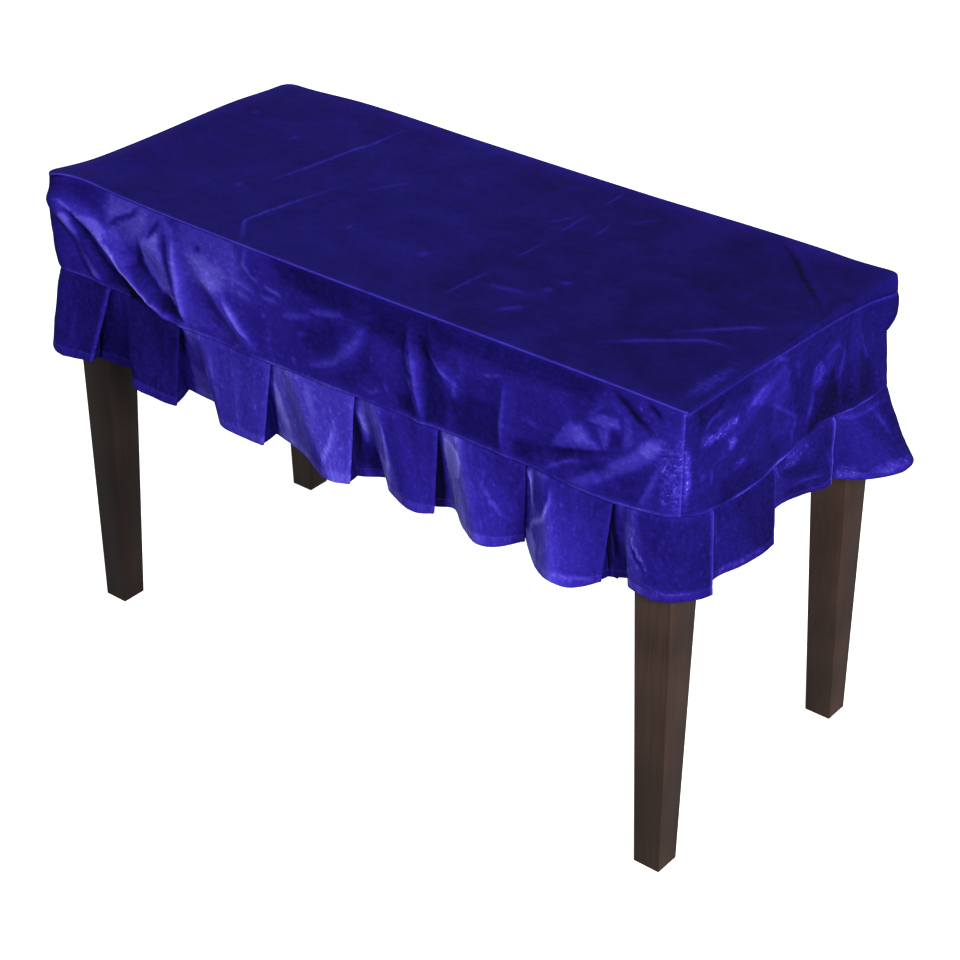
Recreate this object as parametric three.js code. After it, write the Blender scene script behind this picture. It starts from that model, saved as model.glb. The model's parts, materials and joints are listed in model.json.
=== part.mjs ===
// Piano bench cover of crushed velvet, standing on the wooden bench it is made for.
// Millimetres. X runs along the bench, Y to its back, Z up; the origin is on the floor under its middle.
import * as THREE from 'three';

// ---------------------------------------------------------------- driving dimensions

const COVER = {
  halfLength: 381,       // middle to the cloth at either end
  halfWidth: 169.5,      // middle to the cloth at the front or the back
  cloth: 1.5,            // velvet with its pile
  gap: 0.3,              // between pieces that are sewn together
  ruffleDrop: 84,        // ruffle from its seam to its hem, along the cloth
  pleatUnderlap: 14,     // how far each pleat is folded back under its edge at the seam
  layerStep: 2.2,        // one folded layer to the next, middle to middle
};

const BENCH = {
  seatTop: 489.8,
  seatThickness: 25,
  seatHalfLength: 377,
  seatHalfWidth: 165.8,
  seatCorner: 12,
  legOuterX: 372.8,      // the two outer faces of a leg are plumb
  legOuterY: 165.4,
  legFoot: 28.8,         // side of the square foot
  legHead: 46.2,         // side of the square where it meets the seat
  railHeight: 66,
  railThickness: 18,
  railSetback: 5,        // rail face behind the face of the leg
};

// The cover's edge is measured round its plan, anticlockwise seen from above, from the front left corner.
// Rows on a side give `at` from the middle of that side, in the same sense.
const SIDES = [
  { name: 'front', half: COVER.halfLength, along: [1, 0], outward: [0, -1] },
  { name: 'right', half: COVER.halfWidth, along: [0, 1], outward: [1, 0] },
  { name: 'back', half: COVER.halfLength, along: [-1, 0], outward: [0, 1] },
  { name: 'left', half: COVER.halfWidth, along: [0, -1], outward: [-1, 0] },
];
let around = 0;
for (const side of SIDES) {
  side.start = around;
  around += 2 * side.half;
}
const AROUND = around;

// Corners in the same order, each at the start of its side: radius in plan at the top seam, at the ruffle
// seam and at the hem; how far the slack cloth puffs out below the top seam, the share of the puff's wave
// already behind it at that seam, and the share of the panel's depth by which the puff has died away.
const CORNERS = [
  { side: 'front', top: 20, low: 16, hem: 18, puff: 14, start: 0.42, reach: 0.98 },
  { side: 'right', top: 6, low: 25, hem: 28, puff: 1, start: 0.12, reach: 1 },
  { side: 'back', top: 15, low: 20, hem: 22, puff: 10, start: 0.24, reach: 0.4 },
  { side: 'left', top: 17, low: 18, hem: 22, puff: 4, start: 0.15, reach: 0.95 },
];
const PUFF_SPREAD = 30;   // length of edge over which a corner's puff dies away
const PUFF_FULLNESS = 0.7; // below 1, a puff is fuller than a sine wave

// The two seams round the cover: height of the top seam, height of the shoulder of the top panel above it,
// height of the ruffle seam, and how far the ruffle seam stands out from plumb.
const SEAMS = [
  { side: 'front', at: -381, top: 502, brow: 1.0, low: 401, out: 11 },
  { side: 'front', at: -358, top: 507.5, brow: 1.0, low: 401, out: 8 },
  { side: 'front', at: -310, top: 503.5, brow: 0.8, low: 399, out: 6 },
  { side: 'front', at: -250, top: 500.5, brow: 0.8, low: 396, out: 7 },
  { side: 'front', at: -212, top: 499.5, brow: 0.8, low: 390.5, out: 9 },
  { side: 'front', at: -130, top: 498, brow: 0.8, low: 388.5, out: 9 },
  { side: 'front', at: 0, top: 497, brow: 0.8, low: 389.5, out: 8 },
  { side: 'front', at: 200, top: 496.5, brow: 0.8, low: 390, out: 7 },
  { side: 'front', at: 310, top: 496, brow: 0.8, low: 388.5, out: 9 },
  { side: 'right', at: -169.5, top: 495, brow: 0.8, low: 394, out: 8 },
  { side: 'right', at: -130, top: 494.5, brow: 1.2, low: 388, out: 9 },
  { side: 'right', at: -75, top: 494, brow: 1.8, low: 385.5, out: 12 },
  { side: 'right', at: -20, top: 492, brow: 3, low: 388, out: 9 },
  { side: 'right', at: 40, top: 490, brow: 5, low: 392, out: 6 },
  { side: 'right', at: 75, top: 488, brow: 6.5, low: 389, out: 8 },
  { side: 'right', at: 120, top: 484, brow: 10, low: 384, out: 9 },
  { side: 'back', at: -381, top: 480.5, brow: 16, low: 382, out: 8.5 },
  { side: 'back', at: -300, top: 488, brow: 11.5, low: 386, out: 8 },
  { side: 'back', at: -100, top: 491.5, brow: 6, low: 389, out: 8 },
  { side: 'back', at: 100, top: 494.5, brow: 4, low: 390, out: 9 },
  { side: 'back', at: 260, top: 497, brow: 3.5, low: 393, out: 8 },
  { side: 'left', at: -169.5, top: 493, brow: 2.5, low: 395, out: 7 },
  { side: 'left', at: -80, top: 496, brow: 5, low: 396, out: 7 },
  { side: 'left', at: 40, top: 497, brow: 3, low: 396, out: 9 },
  { side: 'left', at: 125, top: 499.5, brow: 1.5, low: 399, out: 8 },
];

// Knife pleats, one row each. `at` is where the panel starts at the seam. At the hem the panel starts in
// the recess, keeps to a hollow, rolls forward, swells to its crest and ends in a folded edge. Each pair is
// a place along the edge (from the panel's own start; for the folded edge from the start of the next panel)
// and the distance out from plumb there.
const PLEAT_ROWS = {
  front: [
    { at: -309.5, start: [-22, 8], hollow: [32, 4], roll: [43, 22], crest: [64, 37], edge: [-2, 21] },
    { at: -208.5, start: [-9, -9], hollow: [35, -7], roll: [47, 3], crest: [63, 20], edge: [-2, 22] },
    { at: -88.5, start: [-5, -4], hollow: [18, 1], roll: [46, 10], crest: [92, 34], edge: [7, 26] },
    { at: 17.5, start: [4, 6], hollow: [29, -7], roll: [45, 10], crest: [84, 25], edge: [1, 16] },
    { at: 117.5, start: [-4, 3], hollow: [13, -3], roll: [43, 20], crest: [74, 35], edge: [-5, 1] },
    { at: 217.5, start: [-8, -7], hollow: [4, 4], roll: [40, 37], crest: [68, 48], edge: [-10, 9] },
    { at: 313.5, start: [-7, -4], hollow: [10, -10], roll: [17, 1], crest: [46, 7], edge: [1, 12] },
  ],
  right: [
    { at: -133, start: [7, 2], hollow: [28, -1], roll: [56, 5], crest: [83, 8], edge: [9, 8] },
    { at: -37, start: [17, -8], hollow: [56, -20], roll: [92, -14], crest: [118, -4], edge: [22, -3] },
    { at: 66, start: [21, -9], hollow: [36, -5], roll: [56, 20], crest: [86, 41], edge: [8, 35] },
  ],
  back: [
    { at: -373, start: [6, 4], hollow: [26, 2], roll: [48, 12], crest: [70, 22], edge: [2, 16] },
    { at: -273, start: [-6, 0], hollow: [20, -6], roll: [38, 12], crest: [68, 32], edge: [4, 20] },
    { at: -171, start: [-4, 2], hollow: [26, -8], roll: [44, 6], crest: [80, 18], edge: [-6, 12] },
    { at: -72, start: [-8, -6], hollow: [14, -4], roll: [34, 24], crest: [62, 46], edge: [6, 20] },
    { at: 28, start: [2, 4], hollow: [30, -8], roll: [46, 6], crest: [84, 24], edge: [-2, 17] },
    { at: 127, start: [-6, -2], hollow: [22, -6], roll: [40, 16], crest: [64, 36], edge: [4, 14] },
    { at: 226, start: [-2, 0], hollow: [18, -3], roll: [42, 9], crest: [74, 20], edge: [-8, 14] },
    { at: 325, start: [-8, 0], hollow: [14, 2], roll: [32, 12], crest: [58, 26], edge: [2, 18] },
  ],
  left: [
    { at: -127, start: [4, 4], hollow: [26, 1], roll: [46, 12], crest: [70, 24], edge: [-4, 15] },
    { at: -32, start: [-6, -3], hollow: [20, -10], roll: [34, 6], crest: [58, 30], edge: [2, 16] },
    { at: 57, start: [0, 2], hollow: [22, 2], roll: [44, 14], crest: [66, 26], edge: [-2, 20] },
    { at: 147, start: [-4, 4], hollow: [10, 18], roll: [28, 28], crest: [48, 35], edge: [-22, 20] },
  ],
};
const PLEATS = SIDES.flatMap(({ name }) => PLEAT_ROWS[name].map((row) => ({ side: name, ...row })));

// The ruffle is cut as four lengths. Each begins with the pleat of that row number above.
const RUFFLE_LENGTHS = [
  { name: 'ruffle_front', first: 0, count: 6 },
  { name: 'ruffle_right', first: 6, count: 4 },
  { name: 'ruffle_back', first: 10, count: 7 },
  { name: 'ruffle_left', first: 17, count: 5 },
];

// Folds pressed or hanging in the side panels: a line from one place to another on the panel, each with its
// depth below the top seam; how far it stands out (or in, below zero) and its half width.
const FOLDS = [
  { side: 'front', at: -374, depth: 22, toAt: -318, toDepth: 94, rise: 7, half: 8 },
  { side: 'front', at: -356, depth: 52, toAt: -342, toDepth: 92, rise: -5, half: 9 },
  { side: 'front', at: -368, depth: 20, toAt: -228, toDepth: 104, rise: 9, half: 9 },
  { side: 'front', at: -336, depth: 50, toAt: -290, toDepth: 92, rise: -7, half: 11 },
  { side: 'front', at: -290, depth: 40, toAt: -222, toDepth: 82, rise: -5, half: 12 },
  { side: 'front', at: -221, depth: 18, toAt: -204, toDepth: 104, rise: 6, half: 8 },
  { side: 'front', at: -195, depth: 60, toAt: -150, toDepth: 100, rise: -5, half: 16 },
  { side: 'front', at: -174, depth: 50, toAt: -110, toDepth: 103, rise: 5, half: 8 },
  { side: 'front', at: 30, depth: 12, toAt: -6, toDepth: 92, rise: 4, half: 22 },
  { side: 'front', at: 84, depth: 14, toAt: 98, toDepth: 104, rise: 5, half: 8 },
  { side: 'front', at: 106, depth: 22, toAt: 140, toDepth: 70, rise: 3, half: 8 },
  { side: 'front', at: 192, depth: 40, toAt: 194, toDepth: 100, rise: 3, half: 10 },
  { side: 'front', at: 230, depth: 86, toAt: 320, toDepth: 80, rise: -4, half: 10 },
  { side: 'front', at: 272, depth: 98, toAt: 362, toDepth: 30, rise: 5, half: 13 },
  { side: 'front', at: 312, depth: 4, toAt: 350, toDepth: 30, rise: -2, half: 8 },
  { side: 'right', at: -120, depth: 60, toAt: -20, toDepth: 8, rise: 4, half: 10 },
  { side: 'right', at: -40, depth: 90, toAt: 10, toDepth: 40, rise: -4, half: 14 },
  { side: 'right', at: 20, depth: 92, toAt: 70, toDepth: 20, rise: 4, half: 9 },
  { side: 'right', at: 104, depth: 20, toAt: 96, toDepth: 90, rise: 4, half: 8 },
  { side: 'back', at: -330, depth: 20, toAt: -250, toDepth: 96, rise: 6, half: 11 },
  { side: 'back', at: -180, depth: 12, toAt: -160, toDepth: 100, rise: 4, half: 12 },
  { side: 'back', at: -20, depth: 30, toAt: 50, toDepth: 90, rise: 4, half: 14 },
  { side: 'back', at: 150, depth: 16, toAt: 132, toDepth: 98, rise: 5, half: 10 },
  { side: 'back', at: 340, depth: 24, toAt: 240, toDepth: 92, rise: 6, half: 11 },
  { side: 'left', at: -110, depth: 20, toAt: -60, toDepth: 96, rise: 5, half: 10 },
  { side: 'left', at: 10, depth: 24, toAt: 24, toDepth: 96, rise: 4, half: 10 },
  { side: 'left', at: 140, depth: 18, toAt: 80, toDepth: 90, rise: 6, half: 10 },
];

// Long low creases left in the top panel: a line from one place to another, how far it rises, and its half
// width.
const TOP_CREASES = [
  { x: -8, y: 118, toX: -190, toY: -150, rise: 1.3, half: 9 },
  { x: -16, y: 46, toX: -150, toY: -140, rise: 1.2, half: 9 },
  { x: 226, y: -66, toX: 318, toY: 30, rise: 1.3, half: 9 },
  { x: 318, y: 118, toX: 352, toY: 20, rise: -1.6, half: 13 },
];

// ---------------------------------------------------------------- interpolation

const clamp01 = (value) => Math.min(1, Math.max(0, value));
const mix = (a, b, t) => a + (b - a) * t;
const ease = (t) => t * t * (3 - 2 * t);
const wrapped = (s) => ((s % AROUND) + AROUND) % AROUND;
const sideNamed = (name) => SIDES.find((side) => side.name === name);
const edgePlace = (name, at) => sideNamed(name).start + sideNamed(name).half + at;

// Smooth closed curve through a table's rows, read at a place on the edge.
function roundTheEdge(rows, column, s) {
  const place = wrapped(s);
  const knots = rows.map((row) => ({ s: wrapped(edgePlace(row.side, row.at)), value: row[column] }));
  const count = knots.length;
  const knot = (i) => {
    const turns = Math.floor(i / count);
    const base = knots[i - turns * count];
    return { s: base.s + turns * AROUND, value: base.value };
  };
  let i = -1;
  while (knot(i + 1).s <= place) i += 1;
  const [before, a, b, after] = [knot(i - 1), knot(i), knot(i + 1), knot(i + 2)];
  const span = b.s - a.s;
  const slopeA = (b.value - before.value) / (b.s - before.s);
  const slopeB = (after.value - a.value) / (after.s - a.s);
  const t = (place - a.s) / span;
  const t2 = t * t;
  const t3 = t2 * t;
  return (2 * t3 - 3 * t2 + 1) * a.value + (t3 - 2 * t2 + t) * span * slopeA
    + (3 * t2 - 2 * t3) * b.value + (t3 - t2) * span * slopeB;
}

const seamAt = (column, s) => roundTheEdge(SEAMS, column, s);

// Corner nearest to a place on the edge, and the distance to it along the edge.
function nearestCorner(s) {
  const place = wrapped(s);
  const distances = SIDES.map((side) => {
    const d = Math.abs(place - side.start);
    return Math.min(d, AROUND - d);
  });
  const index = distances.indexOf(Math.min(...distances));
  return { corner: CORNERS[index], distance: distances[index] };
}

// Plan position on the cover's rounded outline, moved outward. `level` is 0 at the top seam, 1 at the
// ruffle seam and 2 at the hem.
function planPoint(s, out, level) {
  const place = wrapped(s);
  const side = SIDES.find((row) => place < row.start + 2 * row.half) ?? SIDES[SIDES.length - 1];
  const { corner } = nearestCorner(place);
  const radius = mix(mix(corner.top, corner.low, clamp01(level)), corner.hem, clamp01(level - 1));
  const c = place - side.start - side.half;
  const acrossHalf = COVER.halfLength + COVER.halfWidth - side.half;
  const straight = side.half - radius;
  const inset = COVER.cloth / 2;
  let along = c;
  let outward = acrossHalf - inset + out;
  if (Math.abs(c) > straight) {
    const angle = ((Math.abs(c) - straight) / radius) * (Math.PI / 4);
    along = Math.sign(c) * (straight + (radius - inset + out) * Math.sin(angle));
    outward = acrossHalf - radius + (radius - inset + out) * Math.cos(angle);
  }
  return [
    along * side.along[0] + outward * side.outward[0],
    along * side.along[1] + outward * side.outward[1],
  ];
}

const RIDGE_ENDS = 0.45;    // share of a ridge's height left at its ends
const FOLD_START = 0.25;    // share of a side panel's depth over which its folds come in below the seam
const FLARE = 1.3;          // above 1, a side panel leaves plumb slowly at first

// Height of a soft ridge along a line, with tapered ends.
function ridge(dx, dy, spanX, spanY, rise, half) {
  const length2 = spanX * spanX + spanY * spanY;
  const t = (dx * spanX + dy * spanY) / length2;
  const nearest = clamp01(t);
  const offX = dx - nearest * spanX;
  const offY = dy - nearest * spanY;
  const across = (offX * offX + offY * offY) / (half * half);
  return rise * Math.exp(-across) * mix(RIDGE_ENDS, 1, Math.sin(Math.PI * nearest));
}

// How far the folds of the side panels stand out at a place and a depth below the top seam.
function foldRelief(s, depth) {
  let relief = 0;
  for (const fold of FOLDS) {
    const ds = wrapped(s - edgePlace(fold.side, fold.at) + AROUND / 2) - AROUND / 2;
    const span = [fold.toAt - fold.at, fold.toDepth - fold.depth];
    relief += ridge(ds, depth - fold.depth, ...span, fold.rise, fold.half);
  }
  return relief;
}

// Outward distance of a side panel at a place; `level` runs from the top seam, 0, to the ruffle seam, 1.
function panelOut(s, level) {
  const depth = level * (seamAt('top', s) - seamAt('low', s));
  const { corner, distance } = nearestCorner(s);
  const wave = clamp01(Math.sin(Math.PI * mix(corner.start, 1, clamp01(level / corner.reach))));
  const puff = corner.puff * wave ** PUFF_FULLNESS * Math.exp(-((distance / PUFF_SPREAD) ** 2));
  const folds = foldRelief(s, depth) * clamp01(level / FOLD_START);
  return Math.max(0, seamAt('out', s) * level ** FLARE + puff + folds);
}

// ---------------------------------------------------------------- sheet solids

// Closed solid of even thickness on a grid of middle points. Rows run down the cloth and each row runs
// anticlockwise round the cover (or left to right, rows running to the front, on the top panel).
function sheetSolid(grid, thickness) {
  const rows = grid.length;
  const columns = grid[0].length;
  const point = (j, i) => grid[Math.min(rows - 1, Math.max(0, j))][Math.min(columns - 1, Math.max(0, i))];
  const positions = [];
  for (const face of [0.5, -0.5]) {
    for (let j = 0; j < rows; j += 1) {
      for (let i = 0; i < columns; i += 1) {
        const down = new THREE.Vector3().subVectors(point(j + 1, i), point(j - 1, i));
        const along = new THREE.Vector3().subVectors(point(j, i + 1), point(j, i)).normalize();
        along.add(new THREE.Vector3().subVectors(point(j, i), point(j, i - 1)).normalize());
        const normal = down.cross(along).normalize();
        const moved = point(j, i).clone().addScaledVector(normal, face * thickness);
        positions.push(moved.x, moved.y, moved.z);
      }
    }
  }
  const outer = (j, i) => j * columns + i;
  const inner = (j, i) => rows * columns + j * columns + i;
  const indices = [];
  const quad = (a, b, c, d) => indices.push(a, b, c, a, c, d);
  for (let j = 0; j < rows - 1; j += 1) {
    for (let i = 0; i < columns - 1; i += 1) {
      quad(outer(j, i), outer(j + 1, i), outer(j + 1, i + 1), outer(j, i + 1));
      quad(inner(j, i), inner(j, i + 1), inner(j + 1, i + 1), inner(j + 1, i));
    }
  }
  for (let i = 0; i < columns - 1; i += 1) {
    quad(outer(0, i), outer(0, i + 1), inner(0, i + 1), inner(0, i));
    quad(outer(rows - 1, i + 1), outer(rows - 1, i), inner(rows - 1, i), inner(rows - 1, i + 1));
  }
  for (let j = 0; j < rows - 1; j += 1) {
    quad(outer(j, 0), inner(j, 0), inner(j + 1, 0), outer(j + 1, 0));
    quad(outer(j + 1, columns - 1), inner(j + 1, columns - 1), inner(j, columns - 1), outer(j, columns - 1));
  }
  const geometry = new THREE.BufferGeometry();
  geometry.setAttribute('position', new THREE.Float32BufferAttribute(positions, 3));
  geometry.setIndex(indices);
  geometry.computeVertexNormals();
  return geometry;
}

// ---------------------------------------------------------------- top panel

const RIM_STEPS = [0, 0.4, 1.8, 5.5];          // distances in from the seam at which the rim is shaped
const RIM_RISE = [0, 0.6, 0.95, 1];            // share of the brow reached at each
const SLACK_STEPS_X = [12, 24, 40];            // further lines along it and across it, which follow the
const SLACK_STEPS_Y = [12, 24];                // slack of the corners
const TOP_COLUMNS = 14;                        // even steps between those lines
const TOP_ROWS = 6;
const CROWN = 1.6;                             // rise of the middle of the top above its shoulders
const SETTLE_REACH = 90;                       // how far in from the edge the slack at the edge dies away
const SLACK_REACH = 45;                        // how far in from a corner its slack moves the rim
const SETTLED = 494.3;                         // height at which the slack cloth lies on the seat
const SETTLED_SHARE = 0.8;                     // how nearly the middle comes down to it

const rimRise = (distance) => {
  const k = RIM_STEPS.findIndex((step) => step > distance);
  if (k < 0) return 1;
  const t = (distance - RIM_STEPS[k - 1]) / (RIM_STEPS[k] - RIM_STEPS[k - 1]);
  return mix(RIM_RISE[k - 1], RIM_RISE[k], t);
};

const insetLines = (half, slackSteps, count) => {
  const steps = [...RIM_STEPS, ...slackSteps];
  const lines = steps.map((step) => -half + step);
  const firm = half - steps[steps.length - 1];
  for (let i = 1; i < count; i += 1) lines.push(mix(-firm, firm, i / count));
  return [...lines, ...steps.map((step) => half - step).reverse()];
};

function topPoint(x, y, halfX, halfY) {
  const u = (x / halfX + 1) / 2;
  const v = (y / halfY + 1) / 2;
  const shoulder = (s) => seamAt('top', s) + seamAt('brow', s);
  const places = {
    front: edgePlace('front', x),
    right: edgePlace('right', y),
    back: edgePlace('back', -x),
    left: edgePlace('left', -y),
  };
  const corners = SIDES.map((side) => shoulder(side.start));
  const edges = mix(shoulder(places.front), shoulder(places.back), v)
    + mix(shoulder(places.left), shoulder(places.right), u)
    - mix(mix(corners[0], corners[1], u), mix(corners[3], corners[2], u), v);
  const inX = halfX - Math.abs(x);
  const inY = halfY - Math.abs(y);
  const nearSide = [
    { distance: inY, s: y < 0 ? places.front : places.back },
    { distance: inX, s: x < 0 ? places.left : places.right },
  ].sort((a, b) => a.distance - b.distance)[0];
  const settle = ease(clamp01(nearSide.distance / SETTLE_REACH));
  let z = mix(edges, SETTLED, SETTLED_SHARE * settle) + CROWN * settle;
  z -= seamAt('brow', nearSide.s) * (1 - rimRise(nearSide.distance));
  for (const crease of TOP_CREASES) {
    const span = [crease.toX - crease.x, crease.toY - crease.y];
    z += ridge(x - crease.x, y - crease.y, ...span, crease.rise, crease.half);
  }
  return z - COVER.cloth / 2;
}

// Plan position of a point of the square grid: drawn in at a rounded corner of the panel, and moved out near
// a corner with the slack side panels below it.
function rimPlan(x, y, halfX, halfY) {
  const cornerIndex = x < 0 ? (y < 0 ? 0 : 3) : (y < 0 ? 1 : 2);
  const radius = CORNERS[cornerIndex].top;
  const p = clamp01((Math.abs(x) - halfX + radius) / radius);
  const q = clamp01((Math.abs(y) - halfY + radius) / radius);
  const [turnX, turnY] = [Math.sqrt(1 - (q * q) / 2), Math.sqrt(1 - (p * p) / 2)];
  const slack = (distance, s) => panelOut(s, 0) * (1 - ease(clamp01(distance / SLACK_REACH)));
  const endPlace = x < 0 ? edgePlace('left', -y) : edgePlace('right', y);
  const longPlace = y < 0 ? edgePlace('front', x) : edgePlace('back', -x);
  const outX = radius * p + slack(halfX - Math.abs(x), endPlace);
  const outY = radius * q + slack(halfY - Math.abs(y), longPlace);
  return [
    Math.sign(x) * (Math.min(Math.abs(x), halfX - radius) + outX * turnX),
    Math.sign(y) * (Math.min(Math.abs(y), halfY - radius) + outY * turnY),
  ];
}

function topPanel() {
  const halfX = COVER.halfLength - COVER.cloth / 2;
  const halfY = COVER.halfWidth - COVER.cloth / 2;
  const columns = insetLines(halfX, SLACK_STEPS_X, TOP_COLUMNS);
  const rows = insetLines(halfY, SLACK_STEPS_Y, TOP_ROWS).reverse();
  const grid = rows.map((y) => columns.map((x) => {
    const [px, py] = rimPlan(x, y, halfX, halfY);
    return new THREE.Vector3(px, py, topPoint(x, y, halfX, halfY));
  }));
  return sheetSolid(grid, COVER.cloth);
}

// ---------------------------------------------------------------- side panels

const PANEL_ROWS = 6;
const CORNER_COLUMNS = [0.6, 5, 11, 18, 27];   // distances from a corner, where the panel turns
const SEAM_ROOM = 1.7;   // the top panel's turned edge takes this much below the top seam line

// Places along one side: close together round its two corners, even between them.
function sideColumns(side, spacing) {
  const length = 2 * side.half;
  const turn = CORNER_COLUMNS[CORNER_COLUMNS.length - 1];
  const count = Math.round((length - 2 * turn) / spacing);
  const columns = [...CORNER_COLUMNS];
  for (let i = 1; i < count; i += 1) columns.push(mix(turn, length - turn, i / count));
  return [...columns, ...CORNER_COLUMNS.map((d) => length - d).reverse()];
}

function sidePanel(side, spacing) {
  const columns = sideColumns(side, spacing);
  const grid = [];
  for (let j = 0; j <= PANEL_ROWS; j += 1) {
    const level = j / PANEL_ROWS;
    grid.push(columns.map((column) => {
      const s = side.start + column;
      const [x, y] = planPoint(s, panelOut(s, level), level);
      const z = mix(seamAt('top', s) - SEAM_ROOM - COVER.gap, seamAt('low', s), level);
      return new THREE.Vector3(x, y, z);
    }));
  }
  return sheetSolid(grid, COVER.cloth);
}

// ---------------------------------------------------------------- ruffle

const RUFFLE_ROWS = 3;
const RUFFLE_GAP = 1.5;         // below the side panel's lower edge
const HOLLOW_AT_SEAM = 5;       // from a pleat's start at the seam to where its hollow, its roll and the
const ROLL_AT_SEAM = 17;        // flat of its face reach the seam
const FACE_AT_SEAM = 30;
const EDGE_TUCK = 1.2;          // a folded edge's under layer sits this much behind it at the hem
const RECESS_TUCK = 1.6;        // and behind the start of the next panel
const PLEAT_STEPS = [2, 2, 2, 2];   // steps from start to hollow, to roll, to crest, to edge
const CORNER_STEPS = 5;         // on a stretch that goes round a corner
const FOLD_STEPS = 4;           // on a fold that lies at a corner
const CORNER_MARGIN = 16;       // how near a corner a stretch has to end to count as going round it

const gathers = (t) => t * t;
const levelsOff = (t) => 1 - (1 - t) ** 2;
const PLEAT_BENDS = [ease, gathers, levelsOff, gathers];

// The pleat of a row number, which may run past the table's ends, with its place on the edge unwrapped.
function pleatAt(index) {
  const turns = Math.floor(index / PLEATS.length);
  const row = PLEATS[index - turns * PLEATS.length];
  return { ...row, s: edgePlace(row.side, row.at) + turns * AROUND };
}

// Whether the stretch of edge between two places bends round a corner.
function turnsCorner(from, to) {
  return nearestCorner((from + to) / 2).distance < Math.abs(to - from) / 2 + CORNER_MARGIN;
}

// Point between two knots of a section; `bend` is the share of the way outward.
const between = (from, to, t, bend) => ({
  seam: [mix(from.seam[0], to.seam[0], t), mix(from.seam[1], to.seam[1], bend)],
  hem: [mix(from.hem[0], to.hem[0], t), mix(from.hem[1], to.hem[1], bend)],
});

// Section of one pleat as pairs of points, at the seam and at the hem: each a place and a distance out.
function pleatSection(index) {
  const pleat = pleatAt(index);
  const next = pleatAt(index + 1);
  const step = COVER.layerStep;
  const lap = COVER.pleatUnderlap;
  const hem = ([place, out], from = pleat.s) => [from + place, out];
  const knots = [
    { seam: [pleat.s - lap, -2 * step], hem: hem(pleat.start) },
    { seam: [pleat.s + HOLLOW_AT_SEAM, -2 * step], hem: hem(pleat.hollow) },
    { seam: [pleat.s + ROLL_AT_SEAM, -step], hem: hem(pleat.roll) },
    { seam: [pleat.s + FACE_AT_SEAM, 0], hem: hem(pleat.crest) },
    { seam: [next.s, 0], hem: hem(pleat.edge, next.s) },
  ];
  const section = [];
  for (let k = 0; k < PLEAT_STEPS.length; k += 1) {
    const [from, to] = [knots[k], knots[k + 1]];
    const steps = turnsCorner(from.seam[0], to.hem[0]) ? CORNER_STEPS : PLEAT_STEPS[k];
    for (let n = 0; n < steps; n += 1) {
      section.push(between(from, to, n / steps, PLEAT_BENDS[k](n / steps)));
    }
  }
  section.push(knots[knots.length - 1]);
  const underFold = {
    seam: [next.s, -step],
    hem: hem([pleat.edge[0] - EDGE_TUCK, pleat.edge[1] - step], next.s),
  };
  const innerFold = {
    seam: [next.s - lap, -step],
    hem: hem([next.start[0] - RECESS_TUCK, next.start[1] + step], next.s),
  };
  const backSteps = turnsCorner(next.s - lap, next.s) ? FOLD_STEPS : 1;
  for (let n = 0; n <= backSteps; n += 1) {
    section.push(between(underFold, innerFold, n / backSteps, n / backSteps));
  }
  return section;
}

function ruffleLength(first, count) {
  const section = [];
  for (let n = 0; n < count; n += 1) section.push(...pleatSection(first + n));
  const grid = [];
  for (let j = 0; j <= RUFFLE_ROWS; j += 1) {
    const down = j / RUFFLE_ROWS;
    grid.push(section.map(({ seam, hem }) => {
      const seamOut = seam[1] + panelOut(seam[0], 1);
      const drop = Math.sqrt(COVER.ruffleDrop ** 2 - (hem[1] - seamOut) ** 2);
      const [x, y] = planPoint(mix(seam[0], hem[0], down), mix(seamOut, hem[1], down), 1 + down);
      return new THREE.Vector3(x, y, seamAt('low', seam[0]) - RUFFLE_GAP - drop * down);
    }));
  }
  return sheetSolid(grid, COVER.cloth);
}

// ---------------------------------------------------------------- bench

function seatBoard() {
  const { seatHalfLength: a, seatHalfWidth: b, seatCorner: r, seatThickness } = BENCH;
  const outline = new THREE.Shape();
  outline.moveTo(-a + r, -b);
  outline.lineTo(a - r, -b);
  outline.absarc(a - r, -b + r, r, -Math.PI / 2, 0, false);
  outline.lineTo(a, b - r);
  outline.absarc(a - r, b - r, r, 0, Math.PI / 2, false);
  outline.lineTo(-a + r, b);
  outline.absarc(-a + r, b - r, r, Math.PI / 2, Math.PI, false);
  outline.lineTo(-a, -b + r);
  outline.absarc(-a + r, -b + r, r, Math.PI, 1.5 * Math.PI, false);
  const extrusion = { depth: seatThickness, bevelEnabled: false, curveSegments: 6 };
  const geometry = new THREE.ExtrudeGeometry(outline, extrusion);
  return geometry.translate(0, 0, BENCH.seatTop - seatThickness);
}

// Square leg whose two inner faces slope in to the foot. `sx` and `sy` say which corner of the bench.
function leg(sx, sy) {
  const height = BENCH.seatTop - BENCH.seatThickness - COVER.gap;
  const geometry = new THREE.BoxGeometry(1, 1, 1).translate(0.5, 0.5, 0.5);
  const position = geometry.getAttribute('position');
  for (let i = 0; i < position.count; i += 1) {
    const width = position.getZ(i) > 0.5 ? BENCH.legHead : BENCH.legFoot;
    position.setXYZ(
      i,
      sx * (BENCH.legOuterX - width * position.getX(i)),
      sy * (BENCH.legOuterY - width * position.getY(i)),
      height * position.getZ(i),
    );
  }
  if (sx * sy < 0) {
    const index = geometry.getIndex();
    for (let i = 0; i < index.count; i += 3) {
      const first = index.getX(i);
      index.setX(i, index.getX(i + 1));
      index.setX(i + 1, first);
    }
  }
  geometry.computeVertexNormals();
  return geometry;
}

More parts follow.
